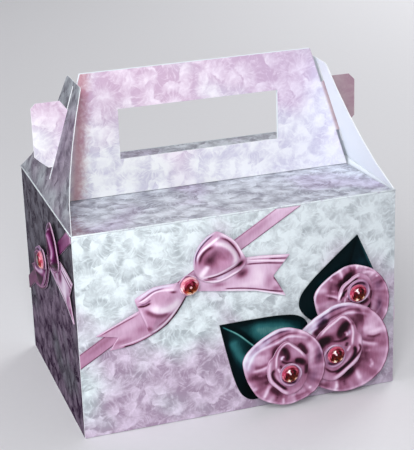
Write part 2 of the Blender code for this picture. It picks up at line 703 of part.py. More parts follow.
def build_roses(satin, leaf, foam, gem):
    """Make the leaves, the three roses over them and the foam pads between."""
    top_hub = build_leaf(
        "top_leaf", HALF_WIDTH - LEAF_TOP_TIP_INSET, LEAF_TOP_TIP_Z, LEAF_TOP_TURN,
        LEAF_TOP_TRIM_SHARE, leaf)
    left_hub = build_leaf(
        "left_leaf", HALF_WIDTH - LEAF_LEFT_TIP_INSET, LEAF_LEFT_TIP_Z, LEAF_LEFT_TURN, 1.0, leaf)
    on_leaf = LEAF_TOP_LEVEL + SEAT_GAP
    build_pad("rose_a_pad", *top_hub, PAD_SIZE, on_leaf, ROSE_A_LEVEL - SEAT_GAP, front_place, foam)
    build_pad(
        "rose_b_pad", HALF_WIDTH - ROSE_B_INSET, ROSE_B_Z - ROSE_B_PAD_DROP, PAD_SIZE, SEAT_GAP,
        ROSE_B_LEVEL - SEAT_GAP, front_place, foam)
    build_pad("rose_c_pad", *left_hub, PAD_SIZE, on_leaf, ROSE_C_LEVEL - SEAT_GAP, front_place, foam)
    build_rose(
        "rose_a", HALF_WIDTH - ROSE_A_INSET, ROSE_A_Z, ROSE_A_RADIUS, ROSE_A_LEVEL, ROSE_A_TURN,
        True, ROSE_A_PETAL_SHARE, ROSE_A_GEM_SHARES, satin, gem)
    build_rose(
        "rose_b", HALF_WIDTH - ROSE_B_INSET, ROSE_B_Z, ROSE_B_RADIUS, ROSE_B_LEVEL, ROSE_B_TURN,
        True, ROSE_B_PETAL_SHARE, ROSE_B_GEM_SHARES, satin, gem)
    build_rose(
        "rose_c", HALF_WIDTH - ROSE_C_INSET, ROSE_C_Z, ROSE_C_RADIUS, ROSE_C_LEVEL, ROSE_C_TURN,
        False, ROSE_C_PETAL_SHARE, ROSE_C_GEM_SHARES, satin, gem)


def build():
    """Build the whole box."""
    clear_scene()
    card = make_material("printed_card", (0.80, 0.78, 0.84), 0.35)
    satin = make_material("rose_satin_print", (0.62, 0.36, 0.47), 0.35)
    leaf = make_material("leaf_satin_print", (0.02, 0.12, 0.12), 0.35)
    foam = make_material("white_foam", (0.85, 0.85, 0.85), 0.9)
    gem = make_material("red_gem", (0.55, 0.03, 0.06), 0.05)
    build_walls(card)
    build_floor(card)
    build_roof(card)
    build_gussets(card)
    build_bow(
        "front", front_place, KNOT_INSET - HALF_WIDTH, KNOT_Z, -HALF_WIDTH, HALF_WIDTH, WALL_TOP, satin,
        gem)
    for word, place in (("left", left_place), ("right", right_place)):
        build_bow(
            word, place, SIDE_KNOT_OFFSET, SIDE_KNOT_Z, -INNER_HALF_DEPTH, INNER_HALF_DEPTH, WALL_TOP,
            satin, gem)
    build_roses(satin, leaf, foam, gem)


build()
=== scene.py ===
"""Looks of a gable box of printed card with layered satin-print bows, roses and leaves.

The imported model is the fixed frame. The card panels keep their CAD shape and get a printed
finish. Bows, roses, leaves and gems are replaced by finer reliefs that sit on the same levels.
All lengths are in metres, +Z is up and the front faces -Y. A drawing's spots and widths are
whole thousandths of the drawing's size.
"""

import enum
import json
import logging
import math
from dataclasses import dataclass, field, replace
from typing import Callable, Sequence

import bpy
import numpy as np
from mathutils import Matrix, Vector


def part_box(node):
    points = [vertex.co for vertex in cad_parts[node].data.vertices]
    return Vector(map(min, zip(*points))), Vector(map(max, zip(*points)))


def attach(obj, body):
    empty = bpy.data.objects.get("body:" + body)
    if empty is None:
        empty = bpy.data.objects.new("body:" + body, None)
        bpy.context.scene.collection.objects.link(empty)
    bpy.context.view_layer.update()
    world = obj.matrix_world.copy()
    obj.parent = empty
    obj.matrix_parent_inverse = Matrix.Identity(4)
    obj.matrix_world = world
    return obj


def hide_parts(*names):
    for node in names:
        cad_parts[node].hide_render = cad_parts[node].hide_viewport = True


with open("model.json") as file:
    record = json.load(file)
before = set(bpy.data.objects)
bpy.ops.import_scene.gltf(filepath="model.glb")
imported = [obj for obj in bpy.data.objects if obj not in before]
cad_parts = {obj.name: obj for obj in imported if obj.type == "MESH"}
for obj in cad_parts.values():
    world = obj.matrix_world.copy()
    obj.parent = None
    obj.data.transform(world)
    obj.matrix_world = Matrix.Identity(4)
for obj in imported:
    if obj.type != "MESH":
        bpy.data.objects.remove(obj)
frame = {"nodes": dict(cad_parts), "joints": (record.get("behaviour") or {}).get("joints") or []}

LOG = logging.getLogger("gable_box")
SPOTS_PER_SHARE = 1000

Pair = tuple[float, float]
Spot = tuple[int, int]
Triple = tuple[float, float, float]
Colour = tuple[float, float, float, float]
Tones = tuple[tuple[float, Colour], ...]
Array = np.ndarray
Material = bpy.types.Material
Piece = bpy.types.Object
Socket = bpy.types.NodeSocket
Value = Socket | float | Sequence[float]
HeightAt = Callable[[Array, Array], Array]


def shown(red: int, green: int, blue: int) -> Colour:
    """Turn a colour as a screen shows it into the linear colour that a shader takes.

    Args:
        red: red from 0 to 255.
        green: green from 0 to 255.
        blue: blue from 0 to 255.

    Returns:
        The linear colour with full cover.
    """
    low_end, low_slope, offset, power = 0.04045, 12.92, 0.055, 2.4
    values = []
    for level in (red, green, blue):
        value = level / 255
        if value <= low_end:
            values.append(value / low_slope)
        else:
            values.append(((value + offset) / (1 + offset)) ** power)
    return (values[0], values[1], values[2], 1.0)


def tones_of(*stops: tuple[float, int, int, int]) -> Tones:
    """Return a ramp from rows of a place between 0 and 1 and a colour as a screen shows it."""
    return tuple((place, shown(*colour)) for place, *colour in stops)


# ---------------------------------------------------------------------------------------
# Places on the walls


class Wall(enum.Enum):
    """The walls that carry ornaments, named as their CAD nodes are."""

    FRONT = "front"
    LEFT = "left"
    RIGHT = "right"


@dataclass(frozen=True)
class Face:
    """The outer face of a wall as a drawing board: right, up and out of it."""

    origin: Array
    right: Array
    up: Array
    out: Array

    @classmethod
    def of(cls, wall: Wall) -> "Face":
        """Return the outer face of a wall, measured on its CAD node.

        Args:
            wall: the wall.

        Returns:
            The face, with its origin at the foot of the wall's middle.
        """
        low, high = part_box(wall.value + "_wall")
        origin, right, out = {
            Wall.FRONT: ((0.0, low.y, 0.0), (1.0, 0.0, 0.0), (0.0, -1.0, 0.0)),
            Wall.LEFT: ((low.x, 0.0, 0.0), (0.0, -1.0, 0.0), (-1.0, 0.0, 0.0)),
            Wall.RIGHT: ((high.x, 0.0, 0.0), (0.0, 1.0, 0.0), (1.0, 0.0, 0.0)),
        }[wall]
        return cls(np.array(origin), np.array(right), np.array((0.0, 0.0, 1.0)), np.array(out))

    def place(self, spots: Array, levels: Array) -> Array:
        """Return the points at spots, right and up on the face, and at levels out of it."""
        flat = self.origin + spots[..., :1] * self.right + spots[..., 1:2] * self.up
        return flat + levels[..., None] * self.out

    def span(self, node: str) -> "Span":
        """Return where a CAD node lies on this face.

        Args:
            node: the node's name.

        Returns:
            The node's reach to the right, up and out.
        """
        corners = np.array(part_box(node)) - self.origin
        rights = np.sort(corners @ self.right)
        ups = np.sort(corners @ self.up)
        outs = np.sort(corners @ self.out)
        return Span(rights[0], rights[1], ups[0], ups[1], outs[0], outs[1])


@dataclass(frozen=True)
class Span:
    """Where a node lies on a face: from left to right, low to high and back to top."""

    left: float
    right: float
    low: float
    high: float
    back: float
    top: float

    @property
    def middle(self) -> Array:
        """Return the middle of the node on the face."""
        return np.array(((self.left + self.right) / 2, (self.low + self.high) / 2))

    @property
    def radius(self) -> float:
        """Return half of the mean of the node's width and height."""
        return (self.right - self.left + self.high - self.low) / 4


# ---------------------------------------------------------------------------------------
# Curves, waves and drawn marks


def in_shares(spots: Sequence[Spot]) -> Array:
    """Return spots in thousandths of a drawing's size as shares of it."""
    return np.array(spots, dtype=float) / SPOTS_PER_SHARE


def smooth_open(corners: Sequence[Spot], steps: int) -> Array:
    """Run a smooth curve through corners: each piece is a cubic whose slopes join its neighbours.

    Args:
        corners: the spots that the curve passes.
        steps: points on each piece.

    Returns:
        The curve's points, in shares.
    """
    points = in_shares(corners)
    if len(points) == 2:
        share = np.linspace(0.0, 1.0, steps + 1)[:, None]
        return points[0] * (1 - share) + points[1] * share
    padded = np.vstack((2 * points[0] - points[1], points, 2 * points[-1] - points[-2]))
    share = np.arange(steps)[None, :, None] / steps
    near = [padded[shift:len(padded) - 3 + shift, None] for shift in range(4)]
    curve = cubic_between(near, share).reshape(-1, 2)
    return np.vstack((curve, points[-1]))


def smooth_closed(corners: Sequence[Spot], count: int) -> Array:
    """Run a closed smooth curve through corners and return evenly stepped points of it.

    Args:
        corners: the spots that the curve passes, counter-clockwise.
        count: how many points to return.

    Returns:
        The points, in shares.
    """
    points = in_shares(corners)
    size = len(points)
    place = np.arange(count) * size / count
    index = place.astype(int)
    share = (place - index)[:, None]
    near = [points[(index + shift) % size] for shift in (-1, 0, 1, 2)]
    return cubic_between(near, share)


def cubic_between(near: Sequence[Array], share: Array) -> Array:
    """Return points between two others on the cubic whose slopes come from the neighbours.

    Args:
        near: the points before the start, at the start, at the end and after the end.
        share: how far along each point lies, from 0 to 1.

    Returns:
        The points.
    """
    before, start, end, after = near
    slope = (end - before) * share
    bend = (2 * before - 5 * start + 4 * end - after) * share**2
    twist = (3 * start - before - 3 * end + after) * share**3
    return (2 * start + slope + bend + twist) / 2


def straight_closed(corners: Sequence[Spot], count: int) -> Array:
    """Return points on a closed outline with straight edges, the corners among them.

    Args:
        corners: the corner spots, counter-clockwise.
        count: about how many points to return.

    Returns:
        The points in shares, with each edge cut into steps of much the same length.
    """
    points = in_shares(corners)
    ends = np.roll(points, -1, axis=0)
    lengths = np.hypot(*(ends - points).T)
    steps = np.maximum(1, np.rint(count * lengths / lengths.sum())).astype(int)
    runs = [
        start + (end - start) * (np.arange(step)[:, None] / step)
        for start, end, step in zip(points, ends, steps)
    ]
    return np.vstack(runs)


def turned(pairs: Array, degrees: float) -> Array:
    """Turn pairs of numbers counter-clockwise.

    Args:
        pairs: right and up, on the array's last axis.
        degrees: how far to turn them.

    Returns:
        The turned pairs.
    """
    sine, cosine = math.sin(math.radians(degrees)), math.cos(math.radians(degrees))
    right, up = pairs[..., 0], pairs[..., 1]
    return np.stack((right * cosine - up * sine, right * sine + up * cosine), axis=-1)


def bell(distance: Array, width: float | Array) -> Array:
    """Return a bell curve: e to the power of minus the square of distance over width."""
    return np.exp(-((distance / width) ** 2))


@dataclass(frozen=True)
class Wave:
    """One wave: strength times the cosine of count times angle, plus drift times reach, plus lag."""

    count: float
    drift: float = 0.0
    lag: float = 0.0
    strength: float = 1.0

    def at(self, angle: Array, reach: Array | float = 0.0) -> Array:
        """Return the wave at an angle, or a place along a line, and a reach outwards or across."""
        return self.strength * np.cos(self.count * angle + self.drift * reach + self.lag)


def wave_sum(waves: Sequence[Wave], angle: Array, reach: Array | float = 0.0) -> Array:
    """Return the sum of waves at an angle and a reach."""
    return sum(wave.at(angle, reach) for wave in waves)


@dataclass
class Paint:
    """What marks have laid on a relief's spots: its rise, its tone and how cool its hue is."""

    rise: Array
    tone: Array
    cool: Array

    @classmethod
    def blank(cls, shape: tuple[int, ...]) -> "Paint":
        """Return paint with nothing on it for an array of spots."""
        return cls(np.zeros(shape), np.zeros(shape), np.zeros(shape))

    def add(self, mark: "Stroke | Patch", strength: Array) -> None:
        """Add a mark's tone, rise and coolness.

        Args:
            mark: the mark.
            strength: how strong it is on each spot, from 0 to 1.
        """
        self.tone += mark.tone * strength
        self.rise += mark.rise * strength
        self.cool += mark.cool * strength


@dataclass(frozen=True)
class Stroke:
    """A line drawn on a relief, with its own softness on each side.

    The strength falls off as a bell curve of the distance to the line, over `left` on its
    left hand side and over `right` on the other, and tapers towards both ends.
    """

    path: tuple[Spot, ...]
    left: int
    right: int
    tone: float
    rise: float = 0.0
    cool: float = 0.0
    taper: float = 0.2
    end_strength: float = 0.15
    widths_seen: int = 3
    piece_steps: int = 5

    def lay(self, spots: Array, paint: Paint) -> None:
        """Add the stroke to the paint.

        Args:
            spots: the spots in the drawing's own shares.
            paint: what is laid so far, which this changes.
        """
        curve = smooth_open(self.path, self.piece_steps)
        left, right = in_shares((self.left, self.right))
        flat = spots.reshape(-1, 2)
        reach = max(left, right) * self.widths_seen
        near = np.all((flat > curve.min(axis=0) - reach) & (flat < curve.max(axis=0) + reach), axis=1)
        if not near.any():
            return
        distance, along, turn = self.nearest(flat[near], curve)
        strength = bell(distance, np.where(turn > 0, left, right))
        ends = np.minimum(along, 1 - along) / self.taper + self.end_strength
        full = np.zeros(len(flat))
        full[near] = strength * np.clip(ends, 0.0, 1.0)
        paint.add(self, full.reshape(spots.shape[:-1]))

    @staticmethod
    def nearest(spots: Array, curve: Array) -> tuple[Array, Array, Array]:
        """Find the place on a curve that is nearest to each spot.

        Args:
            spots: the spots.
            curve: the curve's points.

        Returns:
            The distance, the share of the way along, and a number above 0 on the left hand side.
        """
        start = curve[:-1]
        step = curve[1:] - start
        gap = spots[:, None, :] - start[None]
        share = np.clip((gap * step).sum(axis=2) / (step * step).sum(axis=1), 0.0, 1.0)
        foot = gap - share[..., None] * step
        distance = np.hypot(foot[..., 0], foot[..., 1])
        piece = distance.argmin(axis=1)
        rows = np.arange(len(spots))
        along = (piece + share[rows, piece]) / len(step)
        turn = step[piece, 0] * gap[rows, piece, 1] - step[piece, 1] * gap[rows, piece, 0]
        return distance[rows, piece], along, turn


@dataclass(frozen=True)
class Patch:
    """A soft oval laid on a relief: a bell curve of the distance to its middle."""

    centre: Spot
    radii: Spot
    tone: float
    turn: float = 0.0
    rise: float = 0.0
    cool: float = 0.0

    def lay(self, spots: Array, paint: Paint) -> None:
        """Add the oval to the paint, whose spots are in the drawing's own shares."""
        ways = turned(spots - in_shares(self.centre), -self.turn) / in_shares(self.radii)
        paint.add(self, np.exp(-(ways[..., 0] ** 2 + ways[..., 1] ** 2)))


Mark = Stroke | Patch


@dataclass(frozen=True)
class Drawing:
    """Where a drawing lies on a face: its origin, the size of one share, its turn and flip."""

    centre: Array
    size: float
    turn: float = 0.0
    flipped: bool = False

    @property
    def hand(self) -> Array:
        """Return what right and up are multiplied by to flip the drawing."""
        return np.array((-1.0 if self.flipped else 1.0, 1.0))

    def on_face(self, shares: Array) -> Array:
        """Turn right and up in the drawing, in shares, into right and up on the face."""
        return self.centre + turned(shares * self.hand, self.turn) * self.size

    def in_shares(self, spots: Array) -> Array:
        """Turn right and up on the face into right and up in the drawing, in shares."""
        return turned((spots - self.centre) / self.size, -self.turn) * self.hand

    def outline(self, loop: Array) -> Array:
        """Return an outline on the face, counter-clockwise also where the drawing is flipped."""
        placed = self.on_face(loop)
        return placed[::-1] if self.flipped else placed


@dataclass(frozen=True)
class Sketch:
    """Marks, with the drawing that places them on a face."""

    drawing: Drawing
    marks: tuple[Mark, ...]

    def lay(self, spots: Array, paint: Paint) -> None:
        """Add the marks to the paint, whose spots are on the face."""
        for mark in self.marks:
            mark.lay(self.drawing.in_shares(spots), paint)


# ---------------------------------------------------------------------------------------
# Meshes


@dataclass(frozen=True)
class Skin:
    """A closed mesh in arrays: which faces are smooth, which take the second finish, and numbers.

    Each row of `numbers` is a number that the finish reads, on every point or on every face.
    """

    points: Array
    faces: list[list[int]]
    smooth: Array
    second: Array
    numbers: dict[str, Array]
    domain: str = "POINT"


def make_piece(name: str, skin: Skin, finishes: Sequence[Material]) -> Piece:
    """Put a skin into a new object at the origin.

    Args:
        name: the object's name.
        skin: its closed mesh.
        finishes: the materials, the printed one first.

    Returns:
        The new object.
    """
    mesh = bpy.data.meshes.new(name)
    mesh.from_pydata(skin.points.tolist(), [], skin.faces)
    for finish in finishes:
        mesh.materials.append(finish)
    mesh.polygons.foreach_set("use_smooth", skin.smooth)
    mesh.polygons.foreach_set("material_index", skin.second.astype(int))
    for word, values in skin.numbers.items():
        layer = mesh.attributes.new(word, "FLOAT", skin.domain)
        layer.data.foreach_set("value", values.astype(np.float32))
    mesh.update()
    piece = bpy.data.objects.new(name, mesh)
    bpy.context.scene.collection.objects.link(piece)
    return piece


def stand_for(piece: Piece, node: str) -> Piece:
    """Let a piece take the place of a CAD node that rides on the box.

    Args:
        piece: the new piece.
        node: the CAD node.

    Returns:
        The piece.
    """
    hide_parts(node)
    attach(piece, "box")
    LOG.info("%s stands for %s", piece.name, node)
    return piece


def ring_quads(rings: int, count: int) -> Array:
    """Return the faces between neighbouring rings of points.

    Args:
        rings: how many rings there are.
        count: points on each ring.

    Returns:
        Rows of four corners, ring by ring.
    """
    spoke = np.arange(count)
    after = (spoke + 1) % count
    ring = np.arange(rings - 1)[:, None] * count
    quads = np.stack((ring + spoke, ring + count + spoke, ring + count + after, ring + after), axis=-1)
    return quads.reshape(-1, 4)


def fan(hub: int, first: Array, second: Array) -> list[list[int]]:
    """Return triangles from a hub to pairs of neighbouring corners."""
    return np.stack((np.full(len(first), hub), first, second), axis=-1).tolist()


def wheel_skin(
    top: Array, back: Array, hub_top: Array, hub_back: Array, paint: Paint
) -> Skin:
    """Close a relief that is a wheel of spokes: a top, an edge all round and a flat back.

    Args:
        top: points of the top by ring and spoke, from the innermost ring outwards.
        back: points of the back's rim by spoke.
        hub_top: the middle of the top.
        hub_back: the middle of the back.
        paint: the paint by ring and spoke. Both hubs take the innermost ring's mean.

    Returns:
        The closed skin.
    """
    rings, count = top.shape[:2]
    points = np.vstack((top.reshape(-1, 3), back, hub_top[None], hub_back[None]))
    spoke = np.arange(count)
    after = (spoke + 1) % count
    rim = (rings - 1) * count
    under = rings * count
    hub = under + count
    edge = np.stack((rim + spoke, under + spoke, under + after, rim + after), axis=-1)
    faces = ring_quads(rings, count).tolist() + fan(hub, spoke, after)
    smooth_count = len(faces)
    faces += edge.tolist() + fan(hub + 1, under + after, under + spoke)
    smooth = np.arange(len(faces)) < smooth_count
    numbers = {
        word: np.concatenate((values.ravel(), values[-1], np.full(2, values[0].mean())))
        for word, values in (("tone", paint.tone), ("cool", paint.cool))
    }
    return Skin(points, faces, smooth, ~smooth, numbers)


def strip_skin(top: Array, back: Array, paint: Paint) -> Skin:
    """Close a relief that is a strip: a top, a back and an edge on its four sides.

    Args:
        top: points of the top, along the strip and then across it.
        back: points of the back in the same order.
        paint: the paint in the same order.

    Returns:
        The closed skin.
    """
    long, wide = top.shape[:2]
    size = long * wide
    index = np.arange(size).reshape(long, wide)
    upper = np.stack((index[:-1, :-1], index[1:, :-1], index[1:, 1:], index[:-1, 1:]), axis=-1)
    upper = upper.reshape(-1, 4)
    lower = upper[:, ::-1] + size
    border = np.concatenate((index[:, 0], index[-1, 1:], index[-2::-1, -1], index[0, -2:0:-1]))
    following = np.roll(border, -1)
    edge = np.stack((border, border + size, following + size, following), axis=-1)
    faces = np.vstack((upper, edge, lower)).tolist()
    smooth = np.arange(len(faces)) < len(upper)
    numbers = {"tone": np.tile(paint.tone.ravel(), 2), "cool": np.tile(paint.cool.ravel(), 2)}
    points = np.vstack((top.reshape(-1, 3), back.reshape(-1, 3)))
    return Skin(points, faces, smooth, ~smooth, numbers)


# ---------------------------------------------------------------------------------------
# Reliefs


@dataclass(frozen=True)
class Swell:
    """A height that swells from the rim to the hub: rim plus crown times 1 minus share squared."""

    rim: float
    crown: float

    def __call__(self, share: Array, angle: Array) -> Array:
        """Return the height at a share of the way out; the angle makes no difference."""
        return self.rim + self.crown * (1.0 - share**2)


@dataclass(frozen=True)
class EvenTone:
    """A tone that is the same all over."""

    tone: float

    def __call__(self, share: Array, angle: Array) -> Array:
        """Return the tone for every spot."""
        return np.full(share.shape, self.tone)


def soft_limit(tone: Array, reach: float = 1.06) -> Array:
    """Keep tones near -1 to 1 without a hard end: reach t over the cube root of 1 + |t| cubed."""
    return reach * tone / np.cbrt(1.0 + np.abs(tone) ** 3)


@dataclass(frozen=True)
class Relief:
    """A flat-backed card relief: spokes run from a hub to an outline, and marks raise it.

    The height over the back is `ground(share, angle)` plus the marks' rise, kept between
    `thinnest` and `thickest`. The tone is `wash(share, angle)` plus the marks' tone.
    """

    name: str
    outline: Array
    hub: Array
    rings: int
    sketches: tuple[Sketch, ...]
    ground: HeightAt
    wash: HeightAt
    thinnest: float
    thickest: float
    cool: float = 0.0

    def build(self, face: Face, back: float, finishes: Sequence[Material]) -> Piece:
        """Make the relief on a face.

        Args:
            face: the wall's face.
            back: the level of the relief's flat back.
            finishes: the printed finish and the finish of the cut edge and the back.

        Returns:
            The new object.
        """
        count = len(self.outline)
        share = (np.arange(1, self.rings + 1) / self.rings)[:, None]
        gap = self.outline - self.hub
        spots = self.hub + gap[None] * share[..., None]
        angle = np.broadcast_to(np.arctan2(gap[:, 1], gap[:, 0])[None], (self.rings, count))
        share = np.broadcast_to(share, (self.rings, count))
        paint = Paint.blank((self.rings, count))
        paint.tone += self.wash(share, angle)
        paint.cool += self.cool
        for sketch in self.sketches:
            sketch.lay(spots, paint)
        paint.tone = soft_limit(paint.tone)
        height = np.clip(self.ground(share, angle) + paint.rise, self.thinnest, self.thickest)
        top = face.place(spots, back + height)
        rim = face.place(self.outline, np.full(count, back))
        hub_top = face.place(self.hub, np.array(back + height[0].mean()))
        hub_back = face.place(self.hub, np.array(back))
        return make_piece(self.name, wheel_skin(top, rim, hub_top, hub_back, paint), finishes)


# ---------------------------------------------------------------------------------------
# Finishes



@dataclass(frozen=True)
class Noise:
    """Cloudy noise: its scale, and how many finer layers of what strength lie on it."""

    scale: float
    detail: float = 2.0
    rough: float = 0.5


@dataclass(frozen=True)
class Fade:
    """A soft step: from low to high while a value goes from start to end."""

    start: float
    end: float
    low: float = 0.0
    high: float = 1.0


class Shades:
    """Adds shader nodes to one new material and joins them by their sockets."""

    def __init__(self, name: str) -> None:
        """Start a material that has only a Principled shader and its output.

        Args:
            name: the material's name.
        """
        self.material = bpy.data.materials.new(name)
        self.material.use_nodes = True
        self.tree = self.material.node_tree
        self.shader = self.tree.nodes["Principled BSDF"]

    def add(self, kind: str, inputs: dict[int | str, Value], **settings: object) -> bpy.types.Node:
        """Add a node.

        Args:
            kind: the node's type in Blender.
            inputs: what feeds its sockets, by their number or name.
            **settings: its options by name.

        Returns:
            The new node.
        """
        node = self.tree.nodes.new(kind)
        for word, value in settings.items():
            setattr(node, word, value)
        for word, value in inputs.items():
            self.feed(node.inputs[word], value)
        return node

    def feed(self, socket: Socket, value: Value) -> None:
        """Join a socket to another one, or set its value.

        Args:
            socket: the socket to feed.
            value: the socket or value that feeds it.
        """
        if isinstance(value, Socket):
            self.tree.links.new(value, socket)
        else:
            socket.default_value = value

    def math(
        self, operation: str, first: Value, second: Value = 0.0, third: Value = 0.0, clamp: bool = False
    ) -> Socket:
        """Return a number worked out from up to three others, kept from 0 to 1 by `clamp`."""
        inputs = {0: first, 1: second, 2: third}
        return self.add("ShaderNodeMath", inputs, operation=operation, use_clamp=clamp).outputs[0]

    def vector(self, operation: str, first: Value, second: Value = (0.0, 0.0, 0.0)) -> Socket:
        """Return a vector, or for a dot product or a length a number, from two vectors."""
        node = self.add("ShaderNodeVectorMath", {0: first, 1: second}, operation=operation)
        return node.outputs["Value" if operation in ("DOT_PRODUCT", "LENGTH") else "Vector"]

    def joined(self, across: Value, up: Value) -> Socket:
        """Return a flat vector made of two numbers."""
        return self.add("ShaderNodeCombineXYZ", {0: across, 1: up}).outputs[0]

    def mix(self, share: Value, first: Value, second: Value) -> Socket:
        """Return the colour between two others: share 0 gives the first and 1 the second."""
        return self.add("ShaderNodeMix", {0: share, 6: first, 7: second}, data_type="RGBA").outputs[2]

    def span(self, value: Value, fade: Fade) -> Socket:
        """Return a number that follows a soft step."""
        ends = {"From Min": fade.start, "From Max": fade.end, "To Min": fade.low, "To Max": fade.high}
        return self.add(
            "ShaderNodeMapRange", {"Value": value, **ends}, interpolation_type="SMOOTHSTEP").outputs["Result"]

    def ramp(self, value: Value, stops: Tones) -> Socket:
        """Return a colour looked up on a ramp.

        Args:
            value: the place on the ramp, from 0 to 1.
            stops: places and their colours, in order.

        Returns:
            The socket that holds the colour.
        """
        node = self.add("ShaderNodeValToRGB", {"Fac": value})
        elements = node.color_ramp.elements
        while len(elements) < len(stops):
            elements.new(1.0)
        for element, (place, colour) in zip(elements, stops):
            element.position = place
            element.color = colour
        return node.outputs["Color"]

    def noise(self, place: Value, noise: Noise, flat: bool = False, output: str = "Fac") -> Socket:
        """Return cloudy noise between 0 and 1, of a place's first two numbers only if `flat`."""
        inputs = {"Vector": place, "Scale": noise.scale, "Detail": noise.detail, "Roughness": noise.rough}
        return self.add(
            "ShaderNodeTexNoise", inputs, noise_dimensions="2D" if flat else "3D").outputs[output]

    def attribute(self, word: str) -> Socket:
        """Return a number that the mesh carries."""
        return self.add("ShaderNodeAttribute", {}, attribute_name=word).outputs["Fac"]

    def place(self, output: str = "Object") -> Socket:
        """Return the place on the object, in metres, or another of the texture coordinates."""
        return self.add("ShaderNodeTexCoord", {}).outputs[output]

    def paint(self, colour: Value) -> None:
        """Give the shader's surface a colour."""
        self.feed(self.shader.inputs["Base Color"], colour)

    def bump(self, height: Value, distance: float, strength: float) -> None:
        """Give the shader's surface a fine bump, `distance` high where the height is 1."""
        inputs = {"Height": height, "Distance": distance, "Strength": strength}
        self.feed(self.shader.inputs["Normal"], self.add("ShaderNodeBump", inputs).outputs["Normal"])

    def set(self, **values: float) -> None:
        """Set sockets of the shader that are the same all over; underscores stand for spaces."""
        for word, value in values.items():
            self.shader.inputs[word.replace("_", " ")].default_value = value


@dataclass(frozen=True)
class Tuft:
    """One layer of the card's print: tufts of fine white strokes that spread from a foot.

    Each tuft belongs to a cell about `cell` across. Its colour deepens away from its foot,
    which lies `foot` of a cell behind the cell's middle, and white strokes cut it like the
    ribs of a fan. With `rim` above 0 the tuft is a rounded fan of that radius in cells and
    covers the layer below; with 0 it fills its whole cell.
    """

    cell: float
    shift: float
    strength: float
    rim: float = 0.0
    soft: float = 0.10
    rim_wave: float = 0.05
    randomness: float = 0.9
    foot: float = 0.34
    reach_start: float = 0.05
    reach_end: float = 0.62
    sides: Fade = Fade(1.0, 2.2, 1.0, 0.50)
    front: Fade = Fade(1.2, 1.8, 1.0, 0.0)
    depths: Fade = Fade(0.0, 1.0, 0.55, 1.0)
    ribs: float = 6.5
    rib_bend: float = 0.8
    rib_change: float = 90.0
    rib_noise: Noise = Noise(1.0, 2.5, 0.65)
    rib_edge: Fade = Fade(0.47, 0.64)
    rib_reach: Fade = Fade(0.15, 0.75, 0.35, 0.52)

    def lay(self, shades: Shades, sheet: Socket) -> tuple[Socket, Socket | None]:
        """Return how deep the layer's colour is, and where it covers what is below.

        The layer is a cell pattern. The place from a cell's foot gives the distance and,
        against the cell's own direction, the angle.

        Args:
            shades: the material's nodes.
            sheet: the place on the printed sheet.

        Returns:
            The sockets that hold the depth and, for rounded tufts, the cover.
        """
        shifted = shades.vector("ADD", sheet, (self.shift, self.shift / 2, 0.0))
        scaled = shades.vector("MULTIPLY", shifted, (1 / self.cell, 1 / self.cell, 0.0))
        cells = shades.add(
            "ShaderNodeTexVoronoi", {"Vector": scaled, "Scale": 1.0, "Randomness": self.randomness},
            voronoi_dimensions="2D")
        local = shades.vector("SUBTRACT", scaled, cells.outputs["Position"])
        chance = shades.add("ShaderNodeSeparateColor", {0: cells.outputs["Color"]})
        reach, angle = self.from_foot(shades, local, chance.outputs[0])
        off_middle = shades.math("ABSOLUTE", angle)
        ribs = self.rib_pattern(shades, reach, angle, chance.outputs[1])
        body = shades.math(
            "MULTIPLY", shades.span(reach, Fade(self.reach_start, self.reach_end)),
            shades.span(off_middle, self.sides))
        rib_cut = shades.math("MULTIPLY", ribs, shades.span(reach, self.rib_reach))
        depth = shades.math("MULTIPLY", body, shades.math("SUBTRACT", 1.0, rib_cut))
        depth = shades.math("MULTIPLY", depth, shades.span(chance.outputs[2], self.depths))
        depth = shades.math("MULTIPLY", depth, self.strength)
        if self.rim == 0.0:
            return depth, None
        wavy = shades.math("MULTIPLY_ADD", ribs, self.rim_wave, cells.outputs["Distance"])
        inside = shades.span(wavy, Fade(self.rim - self.soft, self.rim + self.soft, 1.0, 0.0))
        return depth, shades.math("MULTIPLY", inside, shades.span(off_middle, self.front))

    def from_foot(self, shades: Shades, local: Socket, chance: Socket) -> tuple[Socket, Socket]:
        """Return the distance from a tuft's foot and the angle off its own direction.

        Args:
            shades: the material's nodes.
            local: the place from the cell's middle.
            chance: the cell's own number from 0 to 1, which turns its direction.

        Returns:
            The sockets that hold the distance, in cells, and the angle.
        """
        way = shades.math("MULTIPLY", chance, math.tau)
        ahead = shades.joined(shades.math("COSINE", way), shades.math("SINE", way))
        minus_sine = shades.math("MULTIPLY", shades.math("SINE", way), -1.0)
        beside = shades.joined(minus_sine, shades.math("COSINE", way))
        forward = shades.math("ADD", shades.vector("DOT_PRODUCT", local, ahead), self.foot)
        aside = shades.vector("DOT_PRODUCT", local, beside)
        reach = shades.vector("LENGTH", shades.joined(forward, aside))
        return reach, shades.math("ARCTAN2", aside, forward)

    def rib_pattern(self, shades: Shades, reach: Socket, angle: Socket, chance: Socket) -> Socket:
        """Return where the white ribs lie: noise of the angle, bent along the tuft, its own by chance."""
        place = shades.joined(
            shades.math("MULTIPLY", angle, self.ribs),
            shades.math("MULTIPLY_ADD", reach, self.rib_bend, shades.math("MULTIPLY", chance, self.rib_change)))
        return shades.span(shades.noise(place, self.rib_noise, flat=True), self.rib_edge)


